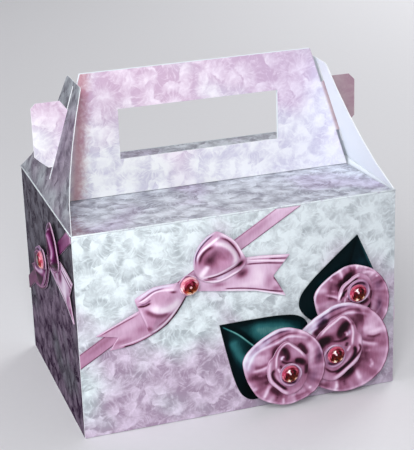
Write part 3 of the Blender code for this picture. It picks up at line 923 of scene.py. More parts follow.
@dataclass(frozen=True)
class EndTint:
    """A band of painted shade along a panel's end, told by the distance in from a slanted line.

    The distance is across times right plus upward times up plus place. The painted shade comes
    in over `rise` about distance 0, holds to `full` and is gone at `none`.
    """

    across: float
    upward: float
    place: float
    full: float
    none: float
    share: float
    rise: float = 0.0010
    streak: float = 0.02
    colour: Colour = shown(150, 96, 108)

    def strength(self, shades: Shades, right: Socket, up: Socket, mist: Socket) -> Socket:
        """Return how strong the painted shade is; the mist makes its inner edge streaky.

        Args:
            shades: the material's nodes.
            right: the place across the sheet.
            up: the place up the sheet.
            mist: noise between 0 and 1.

        Returns:
            The socket that holds the strength.
        """
        inward = shades.math("MULTIPLY_ADD", right, self.across, self.place)
        inward = shades.math("MULTIPLY_ADD", up, self.upward, inward)
        streaky = shades.math("MULTIPLY_ADD", shades.math("SUBTRACT", mist, 0.5), self.streak, inward)
        come = shades.span(inward, Fade(-self.rise, self.rise))
        leave = shades.span(streaky, Fade(self.full, self.none, self.share, 0.0))
        return shades.math("MULTIPLY", come, leave)


@dataclass(frozen=True)
class Inks:
    """A print's colours: its ground and its tufts, each plain and where the print turns pink."""

    light: Colour = shown(234, 245, 249)
    light_pink: Colour = shown(223, 209, 230)
    deep: Colour = shown(172, 182, 188)
    deep_pink: Colour = shown(160, 139, 163)


@dataclass(frozen=True)
class CardPrint:
    """Satin-coated card, printed outside, plain inside and white along its cut edges.

    The print grades over `grade_height` about `grade_middle`: `grade_share` makes its foot
    pinker than its head, and `grade_depth` makes it deeper.
    """

    name: str
    across: Triple
    upward: Triple
    outward: Triple
    offset: Pair = (0.0, 0.0)
    inks: Inks = Inks()
    grade_height: float = 0.114
    grade_middle: float = 0.057
    grade_share: float = 0.0
    grade_depth: float = 0.0
    pink: Fade = Fade(0.40, 0.66)
    end_tints: tuple[EndTint, ...] = ()
    inside: Colour = shown(240, 247, 254)
    edge: Colour = shown(240, 244, 248)
    base_tuft: Tuft = Tuft(0.0120, 0.0, 1.0, reach_end=0.52)
    tufts: tuple[Tuft, ...] = (
        Tuft(0.0175, 0.37, 1.1, rim=0.47, foot=0.26, reach_end=0.70),
        Tuft(0.0150, 0.71, 1.1, rim=0.42, foot=0.22, reach_end=0.64),
    )
    warp: float = 0.0040
    warp_noise: Noise = Noise(150.0)
    mist_noise: Noise = Noise(420.0, 3.0, 0.6)
    mist_depths: Fade = Fade(0.35, 0.70, 0.16, -0.14)
    cloud_noise: Noise = Noise(24.0, 1.5)
    facing: float = 0.5
    grain_noise: Noise = Noise(2600.0)
    roughness: Fade = Fade(0.3, 0.7, 0.32, 0.42)
    bump_distance: float = 0.00002
    bump_strength: float = 0.25
    specular: float = 0.30
    coat: float = 0.06
    coat_roughness: float = 0.25

    def make(self) -> Material:
        """Return the finish as a material.

        The sheet's place is a pair of dot products on Object coordinates. The outer side
        takes the print, the inner side is plain and the cut edges between them are white.

        Returns:
            The material.
        """
        shades = Shades(self.name)
        place = shades.place()
        right = shades.math("ADD", shades.vector("DOT_PRODUCT", place, self.across), self.offset[0])
        up = shades.math("ADD", shades.vector("DOT_PRODUCT", place, self.upward), self.offset[1])
        printed = self.printed(shades, right, up)
        side = shades.vector("DOT_PRODUCT", shades.place("Normal"), self.outward)
        bare = shades.mix(shades.math("LESS_THAN", side, -self.facing), self.edge, self.inside)
        shades.paint(shades.mix(shades.math("GREATER_THAN", side, self.facing), bare, printed))
        grain = shades.noise(place, self.grain_noise)
        shades.feed(shades.shader.inputs["Roughness"], shades.span(grain, self.roughness))
        shades.bump(grain, self.bump_distance, self.bump_strength)
        shades.set(
            Specular_IOR_Level=self.specular, Coat_Weight=self.coat, Coat_Roughness=self.coat_roughness)
        return shades.material

    def printed(self, shades: Shades, right: Socket, up: Socket) -> Socket:
        """Return the print's colour: tufts and mist set its depth and large clouds its hue.

        Noise first pushes the place on the sheet about by up to half of `warp`. Painted shade then
        lies over the print along the panel's ends where it has some.

        Args:
            shades: the material's nodes.
            right: the place across the sheet.
            up: the place up the sheet.

        Returns:
            The socket that holds the colour.
        """
        flat = shades.joined(right, up)
        bend = shades.noise(flat, self.warp_noise, flat=True, output="Color")
        pushed = shades.vector("SUBTRACT", bend, (0.5, 0.5, 0.5))
        pushed = shades.vector("MULTIPLY", pushed, (self.warp, self.warp, 0.0))
        sheet = shades.vector("ADD", flat, pushed)
        mist = shades.noise(sheet, self.mist_noise, flat=True)
        depth = shades.math("ADD", self.tuft_depth(shades, sheet), shades.span(mist, self.mist_depths))
        clouds = shades.noise(flat, self.cloud_noise, flat=True)
        height = shades.math("SUBTRACT", up, self.grade_middle)
        grade = shades.math("MULTIPLY", height, -self.grade_share / self.grade_height)
        pink = shades.span(shades.math("ADD", clouds, grade), self.pink)
        light = shades.mix(pink, self.inks.light, self.inks.light_pink)
        deep = shades.mix(pink, self.inks.deep, self.inks.deep_pink)
        lower = shades.math("MULTIPLY", height, -self.grade_depth / self.grade_height)
        printed = shades.mix(shades.math("ADD", depth, lower, clamp=True), light, deep)
        # painted shade along the panel's ends
        for end_shade in self.end_tints:
            printed = shades.mix(end_shade.strength(shades, right, up, mist), printed, end_shade.colour)
        return printed

    def tuft_depth(self, shades: Shades, sheet: Socket) -> Socket:
        """Return how deep the print is with each layer of tufts laid over the one below.

        Args:
            shades: the material's nodes.
            sheet: the place on the printed sheet.

        Returns:
            The socket that holds the depth.
        """
        depth, _ = self.base_tuft.lay(shades, sheet)
        for tuft in self.tufts:
            over, cover = tuft.lay(shades, sheet)
            depth = shades.math("MULTIPLY_ADD", cover, shades.math("SUBTRACT", over, depth), depth)
        return depth


@dataclass(frozen=True)
class PlainCard:
    """Plain card or paper: two colours mixed by fibre noise, with a faint grain."""

    name: str
    colour: Colour = shown(232, 232, 238)
    dusk: Colour = shown(218, 218, 227)
    roughness: float = 0.6
    fibres: Noise = Noise(1800.0, 3.0, 0.6)
    dusk_share: Fade | None = None
    bump_distance: float = 0.00003
    bump_strength: float = 0.3

    def make(self) -> Material:
        """Return the finish as a material.

        Returns:
            The material, with the noise taken as it is or over a soft step.
        """
        shades = Shades(self.name)
        grain = shades.noise(shades.place(), self.fibres)
        share = grain if self.dusk_share is None else shades.span(grain, self.dusk_share)
        shades.paint(shades.mix(share, self.colour, self.dusk))
        if self.bump_strength > 0.0:
            shades.bump(grain, self.bump_distance, self.bump_strength)
        shades.set(Roughness=self.roughness)
        return shades.material


FOLD_LINE = PlainCard(
    "fold_line", shown(226, 236, 240), shown(190, 190, 206), 0.45, Noise(420.0, 3.0, 0.6), Fade(0.45, 0.75),
    bump_strength=0.0)
FLOOR_PAPER = PlainCard(
    "floor_paper", shown(226, 226, 230), shown(210, 210, 216), 0.8, Noise(240.0), Fade(0.3, 0.7, 0.0, 0.06),
    bump_strength=0.0)


@dataclass(frozen=True)
class SatinPrint:
    """Satin printed on coated card: a ramp of tones, moved to a cooler hue where told."""

    name: str
    tones: Tones
    cool_tones: Tones
    roughness: float = 0.36
    specular: float = 0.12
    stretch: Triple = (1.0, 1.0, 0.25)
    weave: Noise = Noise(900.0)
    weave_tones: Fade = Fade(0.3, 0.7, -0.035, 0.035)
    cloud: Noise = Noise(110.0)
    cloud_tones: Fade = Fade(0.3, 0.7, -0.06, 0.06)
    bump_distance: float = 0.00002
    bump_strength: float = 0.2

    def make(self) -> Material:
        """Return the finish as a material.

        The mesh carries a tone from -1 to 1, which looks up the ramps, and a coolness that
        mixes them. Fine stretched noise stands for the sheen of the printed cloth.

        Returns:
            The material.
        """
        shades = Shades(self.name)
        place = shades.place()
        sheen = shades.noise(shades.vector("MULTIPLY", place, self.stretch), self.weave)
        soft = shades.noise(place, self.cloud)
        tone = shades.math("ADD", shades.attribute("tone"), shades.span(sheen, self.weave_tones))
        tone = shades.math("ADD", tone, shades.span(soft, self.cloud_tones))
        key = shades.math("MULTIPLY_ADD", tone, 0.5, 0.5, clamp=True)
        cool = shades.math("MULTIPLY", shades.attribute("cool"), 1.0, clamp=True)
        shades.paint(shades.mix(cool, shades.ramp(key, self.tones), shades.ramp(key, self.cool_tones)))
        shades.bump(sheen, self.bump_distance, self.bump_strength)
        shades.set(Roughness=self.roughness, Specular_IOR_Level=self.specular)
        return shades.material


@dataclass(frozen=True)
class Foam:
    """White foam tape with small open cells."""

    name: str = "foam_tape"
    colour: Colour = shown(232, 230, 226)
    hollow: Colour = shown(188, 186, 182)
    cell_scale: float = 3200.0
    cell_edge: Fade = Fade(0.1, 0.6)
    bump_distance: float = 0.00008
    bump_strength: float = 0.5
    roughness: float = 0.85

    def make(self) -> Material:
        """Return the finish as a material: cell pattern with darker hollows.

        Returns:
            The material.
        """
        shades = Shades(self.name)
        cells = shades.add("ShaderNodeTexVoronoi", {"Vector": shades.place(), "Scale": self.cell_scale})
        depth = shades.span(cells.outputs["Distance"], self.cell_edge)
        shades.paint(shades.mix(depth, self.colour, self.hollow))
        shades.bump(depth, self.bump_distance, self.bump_strength)
        shades.set(Roughness=self.roughness)
        return shades.material


@dataclass(frozen=True)
class GemGlass:
    """A red foiled glass gem: each facet carries a painted reflection, the tone its foil throws back."""

    name: str
    tones: Tones = tones_of(
        (0.0, 22, 1, 5), (0.2, 84, 2, 14), (0.5, 172, 52, 86), (0.7, 214, 128, 150), (0.88, 240, 200, 210),
        (1.0, 254, 250, 250))
    amber_tones: Tones = tones_of(
        (0.0, 36, 8, 2), (0.25, 96, 28, 4), (0.5, 172, 64, 30), (0.8, 238, 180, 130), (1.0, 254, 240, 214))
    flaws: Noise = Noise(500.0)
    flaw_tones: Fade = Fade(0.3, 0.7, -0.03, 0.03)
    roughness: float = 0.15
    specular: float = 0.1
    coat: float = 0.05
    coat_roughness: float = 0.05

    def make(self) -> Material:
        """Return the finish as a material: ramps of red and amber facets under a clear gloss.

        Returns:
            The material.
        """
        shades = Shades(self.name)
        flaw = shades.span(shades.noise(shades.place(), self.flaws), self.flaw_tones)
        tone = shades.math("ADD", shades.attribute("tone"), flaw)
        key = shades.math("MULTIPLY_ADD", tone, 0.5, 0.5, clamp=True)
        red, amber = shades.ramp(key, self.tones), shades.ramp(key, self.amber_tones)
        shades.paint(shades.mix(shades.attribute("amber"), red, amber))
        shades.set(
            Roughness=self.roughness, Specular_IOR_Level=self.specular, Coat_Weight=self.coat,
            Coat_Roughness=self.coat_roughness)
        return shades.material


SATIN_TONES = tones_of(
    (0.0, 24, 4, 14), (0.2, 84, 38, 60), (0.4, 146, 91, 121), (0.55, 180, 134, 165), (0.75, 217, 185, 212),
    (1.0, 248, 233, 247))
SATIN_COOL_TONES = tones_of(
    (0.0, 24, 8, 30), (0.2, 80, 50, 84), (0.4, 134, 106, 142), (0.55, 170, 146, 180), (0.75, 206, 192, 220),
    (1.0, 238, 238, 250))
# Darker satin tones: painted shade for the end walls' bows.
SHADED_SATIN_TONES = tones_of(
    (0.0, 30, 4, 22), (0.2, 62, 12, 50), (0.4, 104, 42, 90), (0.55, 140, 84, 128), (0.75, 190, 164, 192),
    (1.0, 236, 228, 242))
LEAF_TONES = tones_of(
    (0.0, 2, 6, 8), (0.3, 7, 22, 26), (0.5, 20, 56, 60), (0.72, 48, 112, 115), (1.0, 142, 202, 194))
LEAF_COOL_TONES = tones_of(
    (0.0, 2, 5, 10), (0.3, 7, 19, 30), (0.5, 22, 46, 62), (0.75, 66, 100, 120), (1.0, 170, 194, 210))


@dataclass
class Finishes:
    """The finishes that ornaments share, each made once."""

    satin: Material = field(default_factory=SatinPrint(
        "satin_print", SATIN_TONES, SATIN_COOL_TONES).make)
    # Painted shade: the satin as it looks in shade, for the end walls' bows.
    deep_satin: Material = field(default_factory=SatinPrint(
        "shaded_satin_print", SHADED_SATIN_TONES, SATIN_COOL_TONES, specular=0.03).make)
    satin_edge: Material = field(default_factory=PlainCard(
        "satin_cut_edge", shown(214, 182, 206), shown(190, 154, 184)).make)
    leaf: Material = field(default_factory=SatinPrint(
        "leaf_print", LEAF_TONES, LEAF_COOL_TONES, specular=0.03).make)
    leaf_edge: Material = field(default_factory=PlainCard(
        "leaf_cut_edge", shown(34, 56, 58), shown(18, 34, 38)).make)
    foam: Material = field(default_factory=Foam().make)
    gem: Material = field(default_factory=GemGlass("red_glass").make)
    gem_rim: Material = field(default_factory=PlainCard(
        "gem_foil", shown(206, 150, 170), shown(172, 110, 134), roughness=0.25).make)


def dress(node: str, finish: Material) -> None:
    """Give a CAD node a finish in each of its material slots.

    Args:
        node: the node's name.
        finish: the material.
    """
    thing = frame["nodes"][node]
    for slot in thing.material_slots:
        slot.material = finish
    if not thing.material_slots:
        thing.data.materials.append(finish)


def soften_edges(
    node: str, width: float, segments: int = 2, weld_reach: float = 0.000001, sharp_degrees: float = 40.0
) -> None:
    """Join a CAD node's triangles and round its edges a little with modifiers.

    Args:
        node: the node's name.
        width: how wide the rounding is.
        segments: faces across the rounding.
        weld_reach: how near to each other points are joined.
        sharp_degrees: how far faces turn at an edge that is rounded.
    """
    thing = frame["nodes"][node]
    weld = thing.modifiers.new("weld", "WELD")
    weld.merge_threshold = weld_reach
    bevel = thing.modifiers.new("bevel", "BEVEL")
    bevel.width = width
    bevel.segments = segments
    bevel.limit_method = "ANGLE"
    bevel.angle_limit = math.radians(sharp_degrees)
    bevel.harden_normals = False


# ---------------------------------------------------------------------------------------
# Card box

RIGHT: Triple = (1.0, 0.0, 0.0)
LEFT: Triple = (-1.0, 0.0, 0.0)
BACK: Triple = (0.0, 1.0, 0.0)
FRONT: Triple = (0.0, -1.0, 0.0)
UP: Triple = (0.0, 0.0, 1.0)

# The front's end band is painted shade, greying the wall towards its right end.
FRONT_PRINT = CardPrint(
    "front_wall_print", RIGHT, UP, FRONT, grade_share=0.52, grade_depth=0.42, pink=Fade(0.42, 0.76),
    end_tints=(EndTint(-1.0, 0.0, 0.090, 0.0, 0.14, 0.28, colour=shown(122, 118, 130)),))
# Darker inks on both end walls: painted shade.
END_WALL_SHADED_PRINT = CardPrint(
    "left_wall_print", FRONT, UP, LEFT, grade_share=0.6, grade_depth=0.1, specular=0.0, coat=0.0,
    inks=Inks(shown(106, 104, 114), shown(120, 106, 124), shown(54, 48, 58), shown(44, 28, 48)))
ROOF_PRINT = CardPrint(
    "roof_print", RIGHT, UP, UP, pink=Fade(0.48, 0.72),
    inks=Inks(shown(230, 236, 245), shown(219, 215, 236), shown(143, 145, 160), shown(139, 125, 153)))
HANDLE_PRINT = CardPrint(
    "handle_print", RIGHT, UP, FRONT, pink=Fade(0.38, 0.74), grade_share=-0.46, grade_depth=-0.42,
    grade_middle=0.2072, grade_height=0.070,
    inks=Inks(shown(252, 254, 255), shown(248, 236, 250), shown(214, 212, 228), shown(208, 180, 206)))
# Darker inks on the gussets' outer faces: painted shade.
GUSSET_SHADED_PRINT = CardPrint(
    "gusset_print", FRONT, UP, LEFT, specular=0.12, coat=0.0,
    inks=Inks(shown(164, 170, 178), shown(144, 134, 150), shown(88, 86, 98), shown(72, 58, 80)))
# Painted shadow with a warm cast along the front roof's left end, beside the left gusset.
ROOF_PAINTED_SHADOWS = (EndTint(1.0, 0.0, 0.089, 0.002, 0.014, 0.55),)
HANDLE_PAINTED_SHADES = (
    # Painted shadow with a warm cast along the handle's left end, beside the left gusset.
    EndTint(
        1.0, -0.10, 0.0918, 0.002, 0.0105, 0.72, rise=0.004, streak=0.006, colour=shown(182, 100, 112)),
    # Painted lavender shade towards the handle's right end.
    EndTint(-1.0, 0.0, 0.092, 0.0, 0.13, 0.24, colour=shown(152, 146, 192)),
    # Painted shade on the right ear, behind the right gusset.
    EndTint(1.0, 0.319, -0.1426, 0.5, 0.6, 0.62, colour=shown(158, 112, 116)),
)


@dataclass
class CardBox:
    """The folded card: walls, floor flaps, glue tabs, roof, handle and gussets.

    The panels' prints lie on one flat sheet where the folds allow. Each other strip of
    panels starts at its own place across the sheet.
    """

    edge_round: float = 0.00010
    back_start: float = 0.41
    left_start: float = 0.83
    right_start: float = 1.27
    handle_start: float = 0.0614

    def dress_all(self) -> None:
        """Give every panel its print, and the hidden flaps and tabs bare card."""
        for node, finish in self.prints().items():
            dress(node, finish.make())
            soften_edges(node, self.edge_round)
            LOG.info("printed %s", node)
        bare = PlainCard("bare_card").make()
        for word in ("left", "right"):
            for end in ("front", "back"):
                dress(f"{word}_{end}_glue_tab", bare)
        for word in Wall:
            dress(word.value + "_floor_flap", bare)
        dress("back_floor_flap", bare)
        LOG.info("bare card on the glue tabs and floor flaps")

    def prints(self) -> dict[str, CardPrint]:
        """Return the print of each panel.

        The up of a roof panel runs from its hinge to the handle's crease, and the up of a
        gusset from its hinge to its tip.

        Returns:
            The prints by the panels' names.
        """
        prints = {
            "front_wall": FRONT_PRINT,
            "back_wall": CardPrint("back_wall_print", LEFT, UP, BACK, offset=(self.back_start, 0.0)),
        }
        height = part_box("front_wall")[1].z
        for side, word, start in ((-1.0, "front", 0.0), (1.0, "back", self.back_start)):
            low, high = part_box(word + "_roof")
            inward = Vector((0.0, -side * (high.y - low.y), -(high.z - low.z))).normalized()
            prints[word + "_roof"] = replace(
                ROOF_PRINT, name=word + "_roof_print", across=(-side, 0.0, 0.0), upward=tuple(inward),
                offset=(start, height), end_tints=ROOF_PAINTED_SHADOWS if side < 0 else ())
            prints[word + "_handle"] = replace(
                HANDLE_PRINT, name=word + "_handle_print", across=(-side, 0.0, 0.0), outward=(0.0, side, 0.0),
                offset=(start, self.handle_start), end_tints=HANDLE_PAINTED_SHADES if side < 0 else ())
        for side, word, start in ((-1.0, "left", self.left_start), (1.0, "right", self.right_start)):
            across, offset = (0.0, side, 0.0), (start, 0.0)
            prints[word + "_wall"] = replace(
                END_WALL_SHADED_PRINT, name=word + "_wall_print", across=across, outward=(side, 0.0, 0.0),
                offset=offset)
            low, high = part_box(word + "_gusset")
            lean = Vector((-side * (high.x - low.x), 0.0, high.z - low.z)).normalized()
            prints[word + "_gusset"] = replace(
                GUSSET_SHADED_PRINT, name=word + "_gusset_print", across=across, upward=tuple(lean),
                outward=(side * lean.z, 0.0, -side * lean.x), offset=offset)
        return prints


@dataclass
class Creases:
    """Rounded fold lines between panels, each a thin bead centred on the fold's hinge axis."""

    wall_roof_radius: float = 0.00045
    roof_handle_radius: float = 0.00042
    gusset_radius: float = 0.00030
    corner_radius: float = 0.00042
    corner_inset: float = 0.0004
    wall_gap: float = 0.0002
    foot_height: float = 0.001
    around: int = 16
    along: int = 8
    finish: Material = field(default_factory=FOLD_LINE.make)

    def build_all(self) -> list[Piece]:
        """Make every fold line and let it ride on its body.

        Returns:
            The new pieces.
        """
        pieces = []
        for word in ("front", "back"):
            low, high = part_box(word + "_roof")
            pieces.append(self.fold(word + "_roof_fold", low.x, high.x, self.wall_roof_radius, "box"))
            reach = self.crease_reach(word)
            pieces.append(self.fold(
                word + "_handle_fold", -reach, reach, self.roof_handle_radius, word + "_roof"))
        for word in ("left", "right"):
            low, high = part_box(word + "_gusset")
            pieces.append(self.fold(word + "_gusset_fold", low.y, high.y, self.gusset_radius, "box", "y"))
        return pieces + self.corners()

    def crease_reach(self, word: str) -> float:
        """Return half the width of the handle at its crease, from the handle's mesh.

        Args:
            word: front or back.

        Returns:
            The reach from the middle.
        """
        mesh = frame["nodes"][word + "_handle"].data
        points = np.empty(len(mesh.vertices) * 3)
        mesh.vertices.foreach_get("co", points)
        points = points.reshape(-1, 3)
        foot = points[points[:, 2] < points[:, 2].min() + self.foot_height]
        return float(np.abs(foot[:, 0]).max())

    def bead(self, name: str, start: Array, end: Array, radius: float, body: str) -> Piece:
        """Make a thin round bead with closed ends between two points.

        The skin is a circle of `around` points carried along the line in `along` steps.

        Args:
            name: the piece's name.
            start: where it starts.
            end: where it ends.
            radius: its radius.
            body: the body that it rides on.

        Returns:
            The new piece.
        """
        line = end - start
        axis = line / np.linalg.norm(line)
        across = RIGHT if axis[2] == 1.0 else UP
        side = np.cross(axis, across)
        side /= np.linalg.norm(side)
        up = np.cross(side, axis)
        angle = np.arange(self.around) * math.tau / self.around
        circle = radius * (np.cos(angle)[:, None] * up + np.sin(angle)[:, None] * side)
        share = np.linspace(0.0, 1.0, self.along + 1)
        rings = start + share[:, None, None] * line + circle[None]
        points = np.vstack((rings.reshape(-1, 3), start, end))
        spoke = np.arange(self.around)
        after = (spoke + 1) % self.around
        last = self.along * self.around
        faces = ring_quads(self.along + 1, self.around).tolist()
        smooth_count = len(faces)
        faces += fan(len(points) - 2, spoke, after) + fan(len(points) - 1, last + after, last + spoke)
        smooth = np.arange(len(faces)) < smooth_count
        piece = make_piece(name, Skin(points, faces, smooth, np.zeros(len(faces)), {}), [self.finish])
        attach(piece, body)
        LOG.info("fold line %s", name)
        return piece

    def fold(
        self, joint: str, low: float, high: float, radius: float, body: str, way: str = "x"
    ) -> Piece:
        """Make one fold line on a joint's axis.

        Args:
            joint: the joint's name.
            low: where the line starts.
            high: where it ends.
            radius: the bead's radius.
            body: the body that it rides on.
            way: the axis that the fold runs along, x or y.

        Returns:
            The new piece.
        """
        joints = {entry["name"]: entry for entry in frame["joints"]}
        start = np.array(joints[joint]["pos_m"], dtype=float)
        end = start.copy()
        index = "xyz".index(way)
        start[index], end[index] = low, high
        return self.bead(joint + "_line", start, end, radius, body)

    def corners(self) -> list[Piece]:
        """Make the four upright fold lines between the walls.

        Returns:
            The new pieces.
        """
        low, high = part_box("front_wall")
        reach = high.x - self.corner_inset
        depth = -low.y - self.corner_inset - self.wall_gap
        pieces = []
        for side, word in ((-1.0, "left"), (1.0, "right")):
            for end, place in (("front", -depth), ("back", depth)):
                foot = np.array((side * reach, place, self.corner_radius))
                head = np.array((side * reach, place, high.z))
                pieces.append(self.bead(f"{word}_{end}_corner_line", foot, head, self.corner_radius, "box"))
        return pieces


# ---------------------------------------------------------------------------------------
# Gems


@dataclass(frozen=True)
class GemRing:
    """One ring of a gem's corners, and the look of the facets inside it.

    `share` and `rise` are shares of the gem's radius and height, `half` turns the ring by half
    a facet, and `tone`, `wave` and `amber` are the facets' painted reflection: its tone, how much
    it waves with the angle, and how much amber their foil throws back.
    """

    share: float
    rise: float
    tone: float
    wave: float
    amber: float
    half: bool = False


@dataclass(frozen=True)
class Flash:
    """A painted glint: a bright flash in one direction, over a few rings of facets."""

    way: float
    tone: float
    first_ring: int
    last_ring: int
    width: float

    def at(self, ring: Array, way: Array) -> Array:
        """Return the flash's tone on facets, told by their ring and the angle of their middle."""
        near = np.clip(np.cos(way - math.radians(self.way)) - (1.0 - self.width), 0.0, 1.0) / self.width
        return np.where((ring >= self.first_ring) & (ring <= self.last_ring), self.tone * near, 0.0)


GEM_WAVES = (Wave(3.0, 2.1, strength=0.6), Wave(5.0, 1.3, 0.7, 0.5))
ROSE_GEM_RINGS = (
    GemRing(1.0, 0.0, 0.1, 0.0, 0.0),
    GemRing(1.0, 0.20, 0.06, 0.22, 0.1),
    GemRing(0.86, 0.52, -0.30, 0.45, 0.5),
    GemRing(0.70, 0.80, -0.66, 0.40, 0.7, True),
    GemRing(0.52, 0.97, -0.76, 0.30, 0.8),
    GemRing(0.30, 1.0, -0.78, 0.20, 0.8, True),
    GemRing(0.13, 1.0, -0.72, 0.0, 0.7),
)
# Painted glints: white on the upper left and gold towards the bottom.
ROSE_GEM_FLASHES = (Flash(122.0, 2.2, 3, 5, 0.06), Flash(248.0, 1.5, 2, 3, 0.05), Flash(316.0, 1.5, 2, 3, 0.05))
BOW_GEM_RINGS = (
    GemRing(1.0, 0.0, 0.1, 0.0, 0.0),
    GemRing(1.0, 0.20, 0.55, 0.22, 0.1),
    GemRing(0.86, 0.52, 0.20, 0.45, 0.6),
    GemRing(0.70, 0.80, -0.35, 0.40, 0.9, True),
    GemRing(0.52, 0.97, -0.60, 0.30, 0.9),
    GemRing(0.30, 1.0, -0.66, 0.20, 0.8, True),
    GemRing(0.13, 1.0, -0.60, 0.0, 0.3),
)
# Painted glints of the bows' gems.
BOW_GEM_FLASHES = (Flash(122.0, 0.25, 3, 5, 0.06), Flash(262.0, 0.8, 2, 3, 0.05), Flash(300.0, 0.8, 2, 3, 0.05))


@dataclass
class Gem:
    """A faceted gem: girdle, crown, star and table facets over a flat back.

    The skin is a set of rings of points about the gem's middle, some turned by half a facet.
    Each facet's tone is painted reflection: its ring's own, waves of its angle, and glints.
    """

    face: Face
    rings: tuple[GemRing, ...] = ROSE_GEM_RINGS
    flashes: tuple[Flash, ...] = ROSE_GEM_FLASHES
    facets: int = 16
    # The side whose facets carry painted amber reflection.
    amber_way: float = 285.0
    amber_spread: float = 0.5
    centre_tone: float = 0.0
    # Painted shade that darkens the gems of the end walls' bows.
    shade: float = 0.0

    def build(self, node: str, finishes: Finishes) -> Piece:
        """Make the gem in place of its CAD node.

        Args:
            node: the CAD node that the gem stands for.
            finishes: the shared finishes.

        Returns:
            The new piece.
        """
        faces, ring, way = self.facet_faces()
        side = self.amber_spread + np.cos(way - math.radians(self.amber_way))
        ambers = np.array([each.amber for each in self.rings])[ring]
        numbers = {"tone": self.facet_tones(ring, way), "amber": np.clip(ambers * side, 0.0, 1.0)}
        smooth = np.zeros(len(faces), dtype=bool)
        skin = Skin(self.corners(self.face.span(node)), faces, smooth, ring == 0, numbers, "FACE")
        return stand_for(make_piece(node + "_glass", skin, (finishes.gem, finishes.gem_rim)), node)

    def corners(self, span: Span) -> Array:
        """Return the gem's corners ring by ring, then the middles of its top and its back.

        Args:
            span: where the gem lies.

        Returns:
            The points.
        """
        halves = np.array([ring.half for ring in self.rings]) / 2
        angle = (np.arange(self.facets)[None] + halves[:, None]) * (math.tau / self.facets)
        reach = np.array([ring.share for ring in self.rings])[:, None] * span.radius
        rise = np.array([ring.rise for ring in self.rings])[:, None] * (span.top - span.back)
        circle = np.stack((np.cos(angle) * reach, np.sin(angle) * reach), axis=-1)
        rings = self.face.place(span.middle + circle, span.back + rise + np.zeros(angle.shape))
        table = self.face.place(span.middle[None], np.array((span.top,)))
        under = self.face.place(span.middle[None], np.array((span.back,)))
        return np.vstack((rings.reshape(-1, 3), table, under))

    def facet_faces(self) -> tuple[list[list[int]], Array, Array]:
        """Return the gem's faces, with the ring and the angle of each.

        Returns:
            The faces as lists of corners, and the ring and the angle of each face.
        """
        step = np.arange(self.facets)
        after = (step + 1) % self.facets
        turn = math.tau / self.facets
        way = (step + 0.5) * turn
        faces, ring_of, way_of = [], [], []
        for ring in range(len(self.rings) - 1):
            outer, inner = ring * self.facets, (ring + 1) * self.facets
            if self.rings[ring].half == self.rings[ring + 1].half:
                groups = [(outer + step, outer + after, inner + after, inner + step)]
            elif self.rings[ring + 1].half:
                groups = [
                    (outer + step, outer + after, inner + step), (outer + after, inner + after, inner + step)]
            else:
                groups = [
                    (outer + step, inner + after, inner + step), (outer + step, outer + after, inner + after)]
            for index, group in enumerate(groups):
                faces += np.stack(group, axis=-1).tolist()
                ring_of.append(np.full(self.facets, ring))
                way_of.append(way + index * turn / 2)
        last = (len(self.rings) - 1) * self.facets
        centre = len(self.rings) * self.facets
        faces += np.stack((last + step, last + after, np.full(self.facets, centre)), axis=-1).tolist()
        faces += np.stack((after, step, np.full(self.facets, centre + 1)), axis=-1).tolist()
        ring_of += [np.full(self.facets, len(self.rings) - 1), np.zeros(self.facets, dtype=int)]
        way_of += [way, np.zeros(self.facets)]
        return faces, np.concatenate(ring_of), np.concatenate(way_of)

    def facet_tones(self, ring: Array, way: Array) -> Array:
        """Return each facet's tone: its ring's own plus the painted shade, waves of its angle, and the painted
        glints.

        Args:
            ring: the ring of each facet.
            way: the angle of each facet's middle.

        Returns:
            The tones, from -1 to 1.
        """
        tones = np.array([each.tone for each in self.rings]) + self.shade
        waves = np.array([each.wave for each in self.rings])[ring] * wave_sum(GEM_WAVES, way, ring)
        tone = tones[ring] + waves
        for flash in self.flashes:
            tone += flash.at(ring, way)
        tone += np.where(ring == len(self.rings) - 1, self.centre_tone, 0.0)
        return np.clip(tone, -1.0, 1.0)


# ---------------------------------------------------------------------------------------
# Roses

RUFFLE_OUTLINE: tuple[Spot, ...] = (
    (-1020, 220), (-1000, 370), (-910, 520), (-680, 720), (-430, 870), (-200, 970), (50, 990), (270, 930),
    (570, 780), (830, 500), (980, 120), (990, -230), (910, -500), (770, -710), (530, -860), (270, -940),
    (-20, -960), (-340, -860), (-650, -670), (-820, -420), (-950, -120),
)
PETAL_OUTLINE: tuple[Spot, ...] = (
    (-40, 800), (-170, 760), (-310, 620), (-400, 460), (-500, 360), (-550, 100), (-490, -160), (-330, -330),
    (-170, -490), (0, -560), (240, -470), (410, -240), (460, 60), (440, 320), (300, 520), (130, 690),
)
HEART_OUTLINE: tuple[Spot, ...] = (
    (30, 290), (-140, 250), (-260, 120), (-310, -60), (-260, -220), (-130, -340), (20, -390), (180, -350),
    (300, -220), (355, -50), (330, 100), (200, 230),
)
